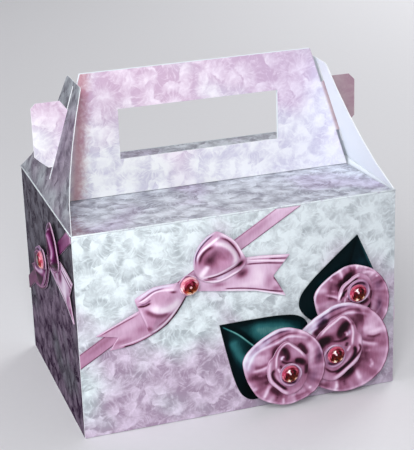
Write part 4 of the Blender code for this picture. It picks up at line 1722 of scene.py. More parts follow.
# Painted highlights on the upper left rim, pale lines with dark ones between, and a painted shadow along the
# right and lower rim.
RIM_HIGHLIGHTS_AND_SHADOW: tuple[Mark, ...] = (
    Stroke(((-1016, 164), (-996, 324), (-896, 504), (-671, 709), (-419, 849), (-203, 949), (48, 974),
        (263, 904)), 50, 45, 0.62, rise=0.0001, cool=0.9),
    Stroke(((-881, 264), (-746, 504), (-516, 664), (-296, 764)), 60, 80, 0.30, cool=0.9),
    Stroke(((-556, 704), (-346, 819), (-96, 899), (124, 909)), 18, 22, -0.55, rise=-0.0001, cool=0.6),
    Stroke(((-916, 54), (-881, 199), (-755, 436), (-538, 562), (-323, 619), (-143, 676), (74, 764),
        (308, 734), (561, 654)), 22, 40, 0.60, rise=0.00016, cool=0.2),
    Stroke(((-456, 629), (-256, 719), (-105, 769), (104, 829), (354, 799)), 22, 18, -0.42, rise=-0.00012),
    Stroke(((4, 704), (164, 724), (354, 674), (524, 594)), 25, 30, -0.12),
    # painted shadow along the right and lower rim
    Stroke(((570, 800), (840, 510), (990, 120), (1000, -230), (920, -510), (780, -720), (530, -870)), 30, 22,
        -1.1),
)
# Thinner painted highlights on the upper left rim, and the same painted shadow along the right and lower rim.
THIN_RIM_HIGHLIGHTS_AND_SHADOW: tuple[Mark, ...] = (
    Stroke(((-990, 50), (-1010, 220), (-900, 520), (-670, 720), (-420, 870), (-200, 965)), 30, 30, 0.75,
        rise=0.0001, cool=0.6),
    Stroke(((-100, 970), (60, 975), (270, 920), (570, 770)), 30, 60, 0.35),
    # painted shadow along the right and lower rim
    Stroke(((570, 800), (840, 510), (990, 120), (1000, -230), (920, -510), (780, -720), (530, -870)), 30, 22,
        -1.1),
)
RUFFLE_MARKS: tuple[Mark, ...] = (
    Patch((-620, 420), (260, 200), 0.28),
    Stroke(((-920, 155), (-730, 172), (-560, 215), (-470, 250)), 30, 50, 0.55, rise=0.0001),
    Stroke(((-840, 235), (-660, 240), (-500, 290)), 60, 30, -0.42, rise=-0.0001),
    Stroke(((-860, 480), (-650, 500), (-450, 500)), 50, 60, 0.18),
    Patch((-720, -100), (200, 200), -0.28),
    Stroke(((-550, 60), (-500, -100), (-570, -240)), 50, 80, -0.50, rise=-0.0001),
    Stroke(((-760, 30), (-640, 30)), 30, 30, 0.25),
    Stroke(((-420, -240), (-530, -420), (-640, -580)), 35, 55, 0.55, rise=0.0001),
    Stroke(((-850, -250), (-790, -330)), 40, 40, 0.35),
    Patch((-330, -440), (190, 85), -1.05, turn=-42.0),
    Stroke(((-280, -580), (-330, -700)), 30, 40, -0.30),
    Stroke(((-142, -640), (-125, -800)), 30, 30, 0.45),
    Stroke(((0, -600), (200, -580), (420, -500)), 50, 60, 0.22),
    Stroke(((100, -660), (300, -640), (500, -580)), 30, 30, -0.22),
    Patch((525, -487), (35, 30), 0.75),
    Patch((780, 360), (100, 260), -0.38, turn=-12.0, cool=0.5),
    Patch((620, -220), (120, 180), -0.22, turn=-20.0, cool=0.4),
    Stroke(((400, 700), (560, 520), (560, 250), (500, -50)), 90, 70, 0.40),
    Stroke(((240, 680), (330, 600), (410, 470), (430, 360)), 65, 50, -1.05, rise=-0.0001),
    Stroke(((-360, 400), (-330, 600), (-200, 780)), 55, 40, -0.55),
    Stroke(((860, 50), (830, -300), (680, -580), (420, -720)), 50, 50, -0.18),
    Stroke(((200, 1020), (500, 860), (750, 600), (870, 250)), 40, 30, 0.28),
)
PETAL_MARKS: tuple[Mark, ...] = (
    Stroke(((-330, 160), (-318, 300), (-308, 440), (-247, 603), (-134, 727), (-25, 757), (100, 655),
        (261, 510), (370, 360)), 25, 22, 0.80, rise=0.0003, taper=0.1),
    Patch((-130, 500), (120, 200), -0.55),
    Patch((150, 500), (130, 100), 0.16, turn=-35.0),
    Stroke(((-190, 650), (-100, 580), (-45, 500), (-30, 410), (-85, 320)), 50, 45, -1.15, rise=-0.0002),
    Stroke(((-200, 360), (-165, 435), (-115, 430)), 30, 25, 0.95, rise=0.0001),
    Stroke(((130, 290), (220, 290), (300, 250), (390, 150)), 50, 60, -1.35, rise=-0.0002),
    Stroke(((-200, 350), (-100, 275), (90, 260)), 20, 25, -0.75),
    Stroke(((-450, 400), (-492, 202), (-496, 33), (-440, -146), (-294, -306), (-151, -448), (-24, -530)), 45,
        40, 0.62, rise=0.0003, taper=0.1),
    Stroke(((-370, 150), (-425, 60), (-400, -70), (-310, -200), (-190, -320), (-70, -420)), 40, 25, -1.45,
        rise=-0.0002, taper=0.12),
    Stroke(((-342, 50), (-290, -100), (-190, -245), (-90, -360)), 35, 20, 0.30),
    Stroke(((-290, 170), (-260, 100), (-235, 50)), 22, 22, 0.70),
    Stroke(((-220, 240), (-200, 150)), 30, 30, -0.75),
    Stroke(((450, 160), (430, 20), (390, -100)), 40, 45, -0.60),
    Patch((180, -460), (200, 60), 0.25, turn=15.0),
)
HEART_MARKS: tuple[Mark, ...] = (
    Stroke(((-100, 235), (90, 262), (220, 180), (305, 60), (325, -60), (270, -200)), 22, 22, 0.60,
        rise=0.0003),
    Stroke(((-220, 100), (-265, -50), (-230, -200), (-110, -315), (30, -360), (170, -320)), 30, 25, 0.35,
        rise=0.0002),
    Stroke(((-210, -100), (-150, -200), (-30, -275), (100, -285), (200, -230)), 30, 30, -1.05),
    Stroke(((100, 215), (200, 130), (260, 20)), 20, 30, -0.85),
    Patch((-200, 60), (50, 120), 0.15, cool=0.6),
)
ROSE_A_RUFFLE: tuple[Mark, ...] = (
    Patch((-208, 619), (200, 85), -1.30, turn=38.0),
    Patch((-774, 450), (121, 91), 0.30),
    Patch((-596, 360), (76, 212), -0.30),
    Patch((398, -145), (109, 97), -1.40),
    Patch((541, 79), (60, 151), -0.60),
    Patch((757, 406), (91, 136), -0.32),
    Patch((770, -233), (91, 151), -0.22),
    Stroke(((-29, 685), (210, 706), (451, 756), (694, 627)), 36, 36, 0.40),
)
ROSE_A_PETALS: tuple[Mark, ...] = (
    Stroke(((47, 412), (182, 459), (363, 423), (467, 303)), 36, 42, -0.90),
    Stroke(((-432, 108), (-372, 248), (-208, 416), (-14, 563), (91, 591)), 27, 27, 0.75, rise=0.0002),
    Stroke(((-387, 100), (-283, 278), (-103, 422), (91, 537)), 24, 30, -1.20),
    Patch((533, 51), (67, 151), -0.90),
)
ROSE_B_RUFFLE: tuple[Mark, ...] = (
    Stroke(((-502, 474), (-406, 587), (-310, 682)), 101, 39, -0.80),
    Patch((-419, 618), (147, 152), -0.45),
    Patch((297, 646), (79, 175), -0.55, turn=8.0),
    Stroke(((227, 909), (366, 746), (423, 540), (402, 347), (426, 202)), 23, 85, -0.40),
    Patch((625, 505), (141, 197), 0.15),
    Stroke(((482, 203), (650, 156), (825, 187)), 23, 37, -0.65),
    Stroke(((509, 272), (677, 270), (846, 311)), 39, 39, 0.32),
    Patch((177, -499), (141, 79), -1.10, turn=38.0),
    Stroke(((584, -325), (651, -481)), 28, 34, 0.45),
    Patch((484, -150), (73, 169), -0.35),
    Stroke(((-159, -688), (-142, -870)), 34, 34, 0.50),
    Patch((-410, -755), (141, 85), -0.35),
)
ROSE_B_PETALS: tuple[Mark, ...] = (
    Patch((-412, 267), (170, 90), -1.30, turn=12.0),
    Patch((-495, 192), (66, 95), -0.95),
    Patch((-1, 469), (141, 68), -0.95, turn=72.0),
    Patch((134, 534), (68, 37), -0.60),
    Patch((102, 361), (42, 56), 0.65, cool=0.5),
    Patch((7, 231), (73, 31), -0.85, turn=10.0),
    Stroke(((309, 81), (343, -27), (288, -142), (162, -262), (-19, -385), (-131, -436)), 25, 25, -1.35,
        taper=0.1),
    Stroke(((-437, -327), (-284, -444), (-103, -429), (64, -301)), 20, 25, -0.90),
)
ROSE_C_RUFFLE: tuple[Mark, ...] = (
    Stroke(((198, 572), (368, 419), (485, 230)), 60, 42, -0.30),
    Patch((-282, 386), (66, 211), -0.40),
    Patch((571, -186), (72, 181), -0.40),
    Patch((-760, -104), (181, 78), -0.35),
    Patch((-587, -260), (121, 181), -0.22),
    Patch((-941, 265), (136, 242), 0.35, cool=0.8),
    Patch((807, 186), (91, 127), -0.15),
    Stroke(((-398, -358), (-460, -531), (-522, -705)), 36, 42, 0.32),
)
ROSE_C_PETALS: tuple[Mark, ...] = (
    Patch((350, 123), (133, 66), -0.95, turn=-10.0),
    Patch((-61, 391), (115, 121), -0.35),
    Patch((-101, 276), (54, 66), 0.55, cool=0.5),
    Patch((500, -65), (60, 127), -0.55),
)


@dataclass
class Rose:
    """One rose of layered card: ruffle, petals and heart, each drawn in shares of its radius.

    The shared drawing's origin is the gem's middle, and two of the roses carry it flipped. The
    rim's painted highlights and shadow and each rose's own marks lie on an unturned board at the
    ruffle's middle.
    """

    word: str
    face: Face
    turn: float
    flipped: bool
    drawing_share: float
    bands: tuple[Mark, ...]
    own_ruffle: tuple[Mark, ...]
    own_petals: tuple[Mark, ...]
    thinnest: float = 0.00020
    ruffle_spokes: int = 288
    ruffle_rings: int = 70
    ruffle_rim: float = 0.00055
    ruffle_crown: float = 0.00030
    ruffle_thickest: float = 0.00108
    gathers: tuple[Wave, ...] = (Wave(9.0, 1.1), Wave(17.0, -2.0, 0.9, 0.7), Wave(31.0, 3.0, 2.3, 0.5))
    gather_tone: float = 0.15
    gather_rise: float = 0.00010
    ruffle_tone: float = -0.01
    rim_tone: float = 0.28
    rim_place: float = 0.975
    rim_width: float = 0.03
    inner_tone: float = 0.10
    petal_spokes: int = 220
    petal_rings: int = 60
    petal_ground: Swell = Swell(0.00050, 0.00020)
    petal_wash: EvenTone = EvenTone(-0.09)
    petal_thickest: float = 0.00128
    heart_spokes: int = 120
    heart_rings: int = 26
    heart_size: float = 0.0200
    heart_ground: Swell = Swell(0.00040, 0.0)
    heart_wash: EvenTone = EvenTone(-0.12)
    heart_cool: float = 0.35
    heart_thickest: float = 0.00088

    def gathered(self, share: Array, angle: Array) -> Array:
        """Return the ruffle's gathers: waves of the angle that grow towards the rim."""
        return wave_sum(self.gathers, angle - math.radians(self.turn), share) * share**2

    def ruffle_ground(self, share: Array, angle: Array) -> Array:
        """Return the ruffle's height: a soft crown, and gathers that grow towards the rim."""
        crown = self.ruffle_crown * (1.0 - share**2)
        return self.ruffle_rim + crown + self.gather_rise * self.gathered(share, angle)

    def ruffle_wash(self, share: Array, angle: Array) -> Array:
        """Return the ruffle's tone before its marks: the gathers, a paler rim, darker within."""
        rim = self.rim_tone * bell(share - self.rim_place, self.rim_width) - self.inner_tone * (1.0 - share)
        return self.ruffle_tone + self.gather_tone * self.gathered(share, angle) + rim

    def layers(self, drawing: Drawing, board: Drawing) -> dict[str, Relief]:
        """Return the reliefs of the ruffle, the petals and the heart.

        Args:
            drawing: where the shared drawing lies, with the gem's middle as its origin.
            board: where the rose's own marks and the rim's painted highlights and shadow lie.

        Returns:
            The reliefs by the endings of their CAD nodes.
        """
        hub = drawing.centre
        near = replace(drawing, size=self.heart_size)
        ruffle = Relief(
            self.word + "_ruffle_print", board.outline(smooth_closed(RUFFLE_OUTLINE, self.ruffle_spokes)), hub,
            self.ruffle_rings, (Sketch(drawing, RUFFLE_MARKS), Sketch(board, self.bands + self.own_ruffle)),
            self.ruffle_ground, self.ruffle_wash, self.thinnest, self.ruffle_thickest)
        petals = Relief(
            self.word + "_petals_print", drawing.outline(smooth_closed(PETAL_OUTLINE, self.petal_spokes)), hub,
            self.petal_rings, (Sketch(drawing, PETAL_MARKS), Sketch(board, self.own_petals)),
            self.petal_ground, self.petal_wash, self.thinnest, self.petal_thickest)
        heart = Relief(
            self.word + "_heart_print", near.outline(smooth_closed(HEART_OUTLINE, self.heart_spokes)), hub,
            self.heart_rings, (Sketch(near, HEART_MARKS),), self.heart_ground, self.heart_wash,
            self.thinnest, self.heart_thickest, self.heart_cool)
        return {"_ruffle": ruffle, "_petals": petals, "_heart": heart}

    def build(self, finishes: Finishes) -> list[Piece]:
        """Make the rose's three layers and its gem.

        Args:
            finishes: the shared finishes.

        Returns:
            The new pieces.
        """
        span = self.face.span(self.word + "_ruffle")
        centre = self.face.span(self.word + "_gem").middle
        drawing = Drawing(centre, span.radius * self.drawing_share, self.turn, self.flipped)
        board = Drawing(span.middle, span.radius)
        pieces = []
        for ending, relief in self.layers(drawing, board).items():
            node = self.word + ending
            piece = relief.build(self.face, self.face.span(node).back, (finishes.satin, finishes.satin_edge))
            pieces.append(stand_for(piece, node))
        return pieces + [Gem(self.face).build(self.word + "_gem", finishes)]


# ---------------------------------------------------------------------------------------
# Leaves

LEAF_SIDE: tuple[Spot, ...] = (
    (100, 120), (270, 330), (430, 540), (530, 730), (500, 890), (300, 1020),
)
LEFT_LEAF_MARKS: tuple[Mark, ...] = (
    Stroke(((0, -30), (20, -250), (0, -500), (0, -800)), 8, 12, 1.10, rise=0.00015, taper=0.05),
    Stroke(((25, -50), (45, -250), (25, -500)), 30, 20, -0.50, rise=-0.0001),
    Stroke(((120, -300), (240, -500), (330, -700), (330, -880)), 110, 120, 0.66, cool=0.1),
    Patch((160, -500), (150, 340), 0.34, turn=15.0),
    Patch((200, -920), (180, 300), 0.62),
    Stroke(((-70, -200), (-160, -380), (-220, -620)), 85, 65, 0.80, cool=0.1),
    Patch((-300, -660), (60, 140), 0.45, turn=-10.0, cool=1.0),
    Patch((-480, -840), (160, 300), -0.8),
    Stroke(((40, -20), (270, -310), (450, -520), (540, -730)), 60, 60, -0.60),
    Stroke(((20, 0), (-120, -160), (-290, -360), (-450, -570)), 40, 40, -0.50),
)
TOP_LEAF_MARKS: tuple[Mark, ...] = (
    Stroke(((0, -30), (-20, -300), (0, -600), (0, -900)), 12, 30, -0.40, rise=-0.0001, taper=0.05),
    Patch((-280, -500), (50, 200), 0.12, turn=-30.0),
    Patch((160, -450), (100, 220), 0.26, turn=20.0, cool=1.0),
    Stroke(((-20, -20), (-270, -330), (-430, -540), (-520, -750)), 50, 50, -0.25),
    Stroke(((20, -30), (220, -330), (360, -540)), 10, 12, 0.45),
)


@dataclass
class Leaf:
    """One leaf of layered card, drawn in shares of its span from its tip, vein downwards."""

    node: str
    face: Face
    tip: Pair
    turn: float
    trim: float
    marks: tuple[Mark, ...]
    span: float = 0.050
    end: Spot = (0, 1060)
    hub: Spot = (0, -580)
    side_steps: int = 18
    rings: int = 70
    ground: Swell = Swell(0.00035, 0.00030)
    wash: EvenTone = EvenTone(-0.45)
    thinnest: float = 0.0002
    thickest: float = 0.00088

    def outline(self) -> Array:
        """Return the outline in shares from its tip: its left side, then its right one, `trim` as wide."""
        side = smooth_open(((0, 0), *LEAF_SIDE, self.end), self.side_steps)
        return np.vstack((side * (-1.0, -1.0), side[-2:0:-1] * (self.trim, -1.0)))

    def build(self, finishes: Finishes) -> Piece:
        """Make the leaf in place of its CAD node.

        Args:
            finishes: the shared finishes.

        Returns:
            The new piece.
        """
        drawing = Drawing(np.array(self.tip), self.span, self.turn)
        relief = Relief(
            self.node + "_print", drawing.outline(self.outline()), drawing.on_face(in_shares(self.hub)),
            self.rings, (Sketch(drawing, self.marks),), self.ground, self.wash, self.thinnest, self.thickest)
        piece = relief.build(self.face, self.face.span(self.node).back, (finishes.leaf, finishes.leaf_edge))
        return stand_for(piece, self.node)


# ---------------------------------------------------------------------------------------
# Bows

RIGHT_LOOP_OUTLINE: tuple[Spot, ...] = (
    (67, 14), (101, -3), (152, -15), (198, -8), (245, 11), (287, 32), (312, 58), (321, 81), (316, 105),
    (295, 146), (266, 196), (226, 233), (186, 259), (162, 267), (143, 260), (112, 245), (74, 212), (47, 168),
    (34, 119), (37, 66), (50, 32),
)
LEFT_LOOP_OUTLINE: tuple[Spot, ...] = (
    (-52, 12), (-72, 15), (-106, 16), (-152, 15), (-188, 11), (-235, -10), (-284, -36), (-288, -54),
    (-278, -83), (-261, -128), (-241, -180), (-221, -239), (-192, -236), (-145, -209), (-102, -173),
    (-69, -136), (-39, -94), (-22, -52),
)
RIGHT_TAIL_OUTLINE: tuple[Spot, ...] = (
    (40, -50), (260, -86), (376, -104), (546, -159), (477, -33), (570, 74), (437, 89), (300, 95), (40, 15),
)
LEFT_TAIL_OUTLINE: tuple[Spot, ...] = (
    (-40, 8), (-266, -111), (-502, -216), (-385, -240), (-432, -308), (-348, -302), (-306, -296),
    (-233, -273), (-165, -242), (-116, -212), (-64, -158), (-29, -107), (-2, -63),
)
RIGHT_LOOP_MARKS: tuple[Mark, ...] = (
    Patch((157, 136), (98, 67), -0.42, turn=20.0, rise=-0.0006),
    Patch((120, 110), (36, 31), -0.45),
    Stroke(((112, 91), (96, 67), (79, 43), (67, 24)), 12, 14, 1.10),
    Stroke(((52, 116), (60, 146), (87, 180), (128, 210), (159, 229), (180, 236)), 5, 5, 0.95, rise=0.0002,
        cool=0.3),
    Stroke(((45, 107), (51, 152), (77, 195), (114, 230), (145, 251)), 4, 3, -1.00, rise=-0.0001, cool=0.8),
    Stroke(((35, 77), (34, 119), (48, 163), (72, 201), (114, 241), (155, 263)), 7, 5, 0.55, cool=0.9),
    Stroke(((61, 99), (74, 143), (104, 178), (141, 198)), 5, 9, -0.75),
    Stroke(((141, 208), (184, 201), (224, 174), (250, 139), (257, 107), (242, 83)), 12, 11, 1.05,
        rise=0.0002),
    Stroke(((180, 233), (223, 209), (257, 169), (280, 129), (289, 96)), 5, 5, -0.80, rise=-0.0002),
    Stroke(((176, 255), (221, 230), (263, 192), (290, 146), (306, 107)), 8, 7, 0.75, rise=0.0001),
    Stroke(((65, 20), (133, 27), (190, 47), (237, 71), (268, 89)), 5, 4, 0.85, rise=0.0001),
    Stroke(((67, 13), (137, 17), (200, 33), (252, 55), (294, 75)), 5, 5, -1.00, rise=-0.0002),
    Patch((288, 70), (23, 12), -1.40, turn=35.0, rise=-0.0003),
    Patch((189, 15), (41, 11), 0.45, turn=22.0, cool=0.5),
    Stroke(((76, 7), (106, -4), (152, -9), (199, 0), (246, 19), (288, 37)), 4, 5, 0.90),
    Stroke(((64, 9), (86, 16), (112, 13)), 4, 4, 0.80),
    Stroke(((86, 7), (127, 6), (163, 5)), 3, 4, -0.60),
)
LEFT_LOOP_MARKS: tuple[Mark, ...] = (
    Stroke(((-285, -42), (-235, -16), (-189, 5), (-132, 11), (-73, 11)), 6, 6, 0.45, cool=0.9),
    Stroke(((-278, -58), (-237, -42), (-184, -12), (-133, -7), (-82, -12)), 4, 4, 0.75, rise=0.0001),
    Stroke(((-273, -52), (-236, -32), (-189, -7), (-133, 3)), 3, 3, -0.75, cool=0.6),
    Stroke(((-266, -70), (-238, -62), (-206, -44)), 4, 4, -0.60, cool=0.5),
    Stroke(((-277, -81), (-243, -76), (-212, -61)), 5, 5, -1.40, rise=-0.0001),
    Stroke(((-218, -81), (-178, -105), (-128, -114), (-81, -99), (-51, -62)), 21, 20, 0.95),
    Patch((-108, -7), (31, 11), 0.40),
    Patch((-110, -58), (39, 19), -0.10),
    Stroke(((-247, -100), (-200, -128), (-154, -140), (-105, -138)), 12, 18, -0.75),
    Patch((-86, -23), (17, 6), -1.00, turn=-12.0),
    Patch((-187, -176), (47, 26), -0.22),
    Stroke(((-265, -90), (-254, -131), (-237, -175), (-225, -226)), 4, 4, 0.22),
    Patch((-222, -216), (17, 16), -0.70),
    Stroke(((-39, -87), (-76, -136), (-125, -188), (-178, -225), (-209, -235)), 5, 5, 0.75),
    Stroke(((-91, -137), (-134, -178), (-182, -208)), 4, 6, -0.45),
)
RIGHT_TAIL_MARKS: tuple[Mark, ...] = (
    Stroke(((321, 90), (397, 84), (482, 78), (568, 70)), 7, 5, 0.45, rise=0.0001),
    Stroke(((340, 81), (406, 74), (459, 67)), 3, 3, -0.45),
    Stroke(((450, 68), (508, 62), (559, 55)), 3, 4, -1.25, rise=-0.0001),
    Stroke(((320, 77), (419, 64), (494, 51), (568, 37)), 4, 4, 0.65, rise=0.0001),
    Stroke(((326, 56), (384, 52), (454, 44), (517, 33), (572, 27)), 4, 4, -1.15, rise=-0.0001, taper=0.1),
    Patch((384, -16), (43, 67), 0.42, turn=10.0),
    Patch((315, -59), (72, 16), 0.25),
    Patch((446, -63), (27, 40), -0.40),
    Patch((516, 5), (27, 20), -0.35),
    Stroke(((575, 25), (529, -4), (481, -34)), 4, 5, -1.20, taper=0.08),
    Stroke(((480, -39), (506, -77), (537, -126)), 4, 7, -1.30, taper=0.08),
    Patch((492, -107), (25, 16), -0.50),
    Stroke(((204, -64), (292, -74), (380, -93), (469, -118), (534, -133)), 4, 4, -1.05, taper=0.05),
    Stroke(((204, -72), (292, -85), (380, -103), (469, -129), (541, -155)), 4, 4, 0.75, cool=0.4, taper=0.05),
    # painted shadow of the right loop on the tail
    Patch((301, 10), (38, 25), -1.00, turn=25.0),
    Patch((319, 75), (8, 20), -0.80),
    Patch((170, -35), (40, 13), -0.50),
)
LEFT_TAIL_MARKS: tuple[Mark, ...] = (
    Stroke(((-499, -212), (-391, -166), (-266, -115)), 5, 6, 0.55, rise=0.0001),
    Stroke(((-490, -218), (-391, -176), (-270, -128)), 3, 4, -0.60),
    Patch((-321, -186), (78, 26), 0.14, turn=25.0),
    Patch((-259, -216), (31, 21), -0.18),
    Stroke(((-490, -219), (-445, -230), (-395, -241)), 3, 4, -0.45),
    Patch((-381, -267), (62, 13), -0.28, turn=10.0),
    Stroke(((-431, -303), (-386, -243)), 4, 4, 0.40),
    Stroke(((-18, -67), (-56, -126), (-105, -184), (-154, -221), (-226, -255), (-305, -279), (-383, -291)), 4,
        4, 0.45, taper=0.05),
    # painted shadow along the lower right edge, below the left loop
    Stroke(((-5, -68), (-42, -124), (-88, -183), (-137, -226), (-211, -266), (-296, -295), (-358, -302)), 8,
        6, -1.80, taper=0.04),
)


class Edges(enum.Enum):
    """How an outline runs between its corners."""

    SMOOTH = "smooth"
    STRAIGHT = "straight"


@dataclass(frozen=True)
class RightLoopGround:
    """The right loop's height: a ridge inside its rim, highest on its outer turn."""

    rim: float = 0.0006
    crown: float = 0.0030
    ridge_end: float = 0.92
    turn: float = 35.0
    least: float = 0.35
    more: float = 0.65

    def __call__(self, share: Array, angle: Array) -> Array:
        """Return the height: a squared sine of the share, fuller where the angle nears `turn`.

        Args:
            share: the share of the way from the hub to the rim.
            angle: the angle about the hub.

        Returns:
            The heights over the back.
        """
        ridge = np.sin(np.pi * np.minimum(1.0, share / self.ridge_end)) ** 2
        fullness = (1.0 + np.cos(angle - math.radians(self.turn))) / 2
        return self.rim + self.crown * ridge * (self.least + self.more * fullness)


@dataclass(frozen=True)
class LeftLoopGround:
    """The left loop's height: one soft swell along its length."""

    rim: float = 0.0006
    crown: float = 0.0030
    turn: float = 35.0
    side_drop: float = 0.35

    def __call__(self, share: Array, angle: Array) -> Array:
        """Return the height: 1 minus share squared, lower towards the loop's long sides."""
        across = np.sin(angle - math.radians(self.turn)) ** 2
        return self.rim + self.crown * (1.0 - share**2) * (1.0 - self.side_drop * across * share)


@dataclass(frozen=True)
class BowLayer:
    """One drawn layer of a bow: a tail or a loop.

    `tone` is its own tone, and `shade_share` is how much of the bow's painted shade it takes.
    """

    ending: str
    corners: tuple[Spot, ...]
    edges: Edges
    spokes: int
    rings: int
    hub: Spot
    marks: tuple[Mark, ...]
    ground: HeightAt
    tone: float
    shade_share: float
    thickest: float

    def relief(self, node: str, drawing: Drawing, shade: float, thinnest: float) -> Relief:
        """Return the relief that stands for a CAD node, in the bow's drawing and shade."""
        trace = smooth_closed if self.edges is Edges.SMOOTH else straight_closed
        return Relief(
            node + "_print", drawing.on_face(trace(self.corners, self.spokes)),
            drawing.on_face(in_shares(self.hub)), self.rings, (Sketch(drawing, self.marks),), self.ground,
            EvenTone(self.tone + shade * self.shade_share), thinnest, self.thickest)


BOW_LAYERS = (
    BowLayer(
        "_bow_right_tail", RIGHT_TAIL_OUTLINE, Edges.STRAIGHT, 220, 60, (300, -10), RIGHT_TAIL_MARKS,
        Swell(0.0005, 0.0003), 0.42, 0.0, 0.00088),
    BowLayer(
        "_bow_left_tail", LEFT_TAIL_OUTLINE, Edges.STRAIGHT, 220, 60, (-250, -190), LEFT_TAIL_MARKS,
        Swell(0.0005, 0.0003), 0.22, 1.0, 0.00088),
    BowLayer(
        "_bow_right_loop", RIGHT_LOOP_OUTLINE, Edges.SMOOTH, 200, 60, (160, 120), RIGHT_LOOP_MARKS,
        RightLoopGround(), 0.24, 1.9, 0.0040),
    BowLayer(
        "_bow_left_loop", LEFT_LOOP_OUTLINE, Edges.SMOOTH, 200, 60, (-165, -90), LEFT_LOOP_MARKS,
        LeftLoopGround(), 0.26, 1.9, 0.0040),
)


@dataclass(frozen=True)
class Ribbon:
    """The ribbon behind a bow: a strip that slants up through the knot, from edge to edge."""

    degrees: float = 30.5
    width: float = 0.0072
    steps_long: int = 220
    steps_wide: int = 24
    start_tone: float = 0.07
    along_tone: float = 0.22
    end_tone: float = 0.36
    end_power: int = 8
    dip_tone: float = 0.10
    dip_place: float = 0.30
    dip_width: float = 0.35
    edge_tone: float = 0.9
    edge_width: float = 0.09
    round_drop: float = 0.10
    round_width: float = 0.10
    waves: tuple[Wave, ...] = (Wave(9.0, 1.5, strength=0.06), Wave(23.0, -2.0, strength=0.04))

    def skin(self, face: Face, span: Span, knot: Span, shade: float, unit: float) -> Skin:
        """Return the ribbon's skin, which has two parameters, along and across.

        Args:
            face: the wall's face.
            span: where the ribbon's CAD node lies. Its ends follow the wall's edges.
            knot: where the knot lies.
            shade: the bow's painted shade.
            unit: the length in which its waves are told.

        Returns:
            The closed skin.
        """
        slope = math.tan(math.radians(self.degrees))
        half = self.width / 2 / math.cos(math.radians(self.degrees))
        across = np.linspace(-1.0, 1.0, self.steps_wide + 1)
        top_reach = knot.middle[0] + (span.high - knot.middle[1] - across * half) / slope
        end = np.minimum(span.right, top_reach)
        share = np.linspace(0.0, 1.0, self.steps_long + 1)[:, None]
        right = span.left + (end - span.left)[None] * share
        up = knot.middle[1] + (right - knot.middle[0]) * slope + across[None] * half
        spots = np.stack((right, np.minimum(up, span.high)), axis=-1)
        line = np.broadcast_to(across[None], right.shape)
        paint = Paint.blank(right.shape)
        paint.tone += self.tone(shade, share, line, (right - span.left) / unit)
        drop = self.round_drop * bell(np.abs(line) - 1.0, self.round_width)
        height = (span.top - span.back) * (1.0 - drop)
        top = face.place(spots, span.back + height)
        return strip_skin(top, face.place(spots, np.full(right.shape, span.back)), paint)

    def tone(self, shade: float, share: Array, line: Array, along: Array) -> Array:
        """Return the ribbon's tone: paler towards its upper end, dark along both edges.

        Args:
            shade: the bow's painted shade.
            share: how far along each spot lies, from 0 to 1.
            line: how far across it lies, from -1 to 1.
            along: how far along it lies, in the bow's own unit.

        Returns:
            The tones.
        """
        rising = shade + self.start_tone + self.along_tone * share + self.end_tone * share**self.end_power
        inner = rising - self.dip_tone * bell(line - self.dip_place, self.dip_width)
        edge = self.edge_tone * bell(np.abs(line) - 1.0, self.edge_width)
        return inner - edge + wave_sum(self.waves, along, line)


@dataclass(frozen=True)
class Knot:
    """The knot of a bow: a small gathered disc under the gem."""

    spokes: int = 96
    rings: int = 20
    ground: Swell = Swell(0.0006, 0.0002)
    thickest: float = 0.0008
    edge_waves: tuple[Wave, ...] = (Wave(3.0, lag=0.6, strength=0.03), Wave(7.0, strength=0.015))
    tone_waves: tuple[Wave, ...] = (Wave(5.0, lag=0.8, strength=0.25), Wave(2.0, lag=-2.0, strength=0.2))
    rim_tone: float = 0.35
    rim_place: float = 0.93
    own_tone: float = -0.1

    def relief(self, name: str, span: Span, shade: float, thinnest: float) -> Relief:
        """Return the knot's relief.

        Args:
            name: the piece's name.
            span: where the knot lies.
            shade: the bow's painted shade.
            thinnest: the least height.

        Returns:
            The relief.
        """
        angle = np.arange(self.spokes) * math.tau / self.spokes
        reach = span.radius * (1.0 + wave_sum(self.edge_waves, angle))
        outline = span.middle + np.stack((np.cos(angle), np.sin(angle)), axis=-1) * reach[:, None]

        def wash(share: Array, way: Array) -> Array:
            """Return the knot's tone: waves of the angle, a paler rim and the bow's painted shade."""
            rim = self.rim_tone * (share > self.rim_place)
            return wave_sum(self.tone_waves, way) + rim + self.own_tone + shade

        return Relief(name, outline, span.middle, self.rings, (), self.ground, wash, thinnest, self.thickest)


@dataclass
class Bow:
    """A bow of layered card on a wall: ribbon, two tails, two loops, knot and gem."""

    wall: Wall
    # Painted shade that darkens the bow; the end walls' bows take it.
    shade: float = 0.0
    span: float = 0.100
    thinnest: float = 0.0002
    gem_centre_tone: float = 1.2
    ribbon: Ribbon = Ribbon()
    layers: tuple[BowLayer, ...] = BOW_LAYERS
    knot: Knot = Knot()

    def build(self, finishes: Finishes) -> list[Piece]:
        """Make the bow's pieces in place of their CAD nodes.

        Args:
            finishes: the shared finishes.

        Returns:
            The new pieces.
        """
        face = Face.of(self.wall)
        word = self.wall.value
        knot = face.span(word + "_bow_knot")
        satin = finishes.satin if self.wall is Wall.FRONT else finishes.deep_satin
        pair = (satin, finishes.satin_edge)
        ribbon = self.ribbon.skin(face, face.span(word + "_ribbon"), knot, self.shade, self.span)
        pieces = [stand_for(make_piece(word + "_ribbon_print", ribbon, pair), word + "_ribbon")]
        drawing = Drawing(knot.middle, self.span)
        reliefs = {
            word + layer.ending: layer.relief(word + layer.ending, drawing, self.shade, self.thinnest)
            for layer in self.layers
        }
        reliefs[word + "_bow_knot"] = self.knot.relief(
            word + "_bow_knot_print", knot, self.shade, self.thinnest)
        for node, relief in reliefs.items():
            piece = relief.build(face, face.span(node).back, pair)
            pieces.append(stand_for(piece, node))
        gem = Gem(
            face, BOW_GEM_RINGS, BOW_GEM_FLASHES, centre_tone=self.gem_centre_tone, shade=self.shade / 2)
        return pieces + [gem.build(word + "_bow_gem", finishes)]


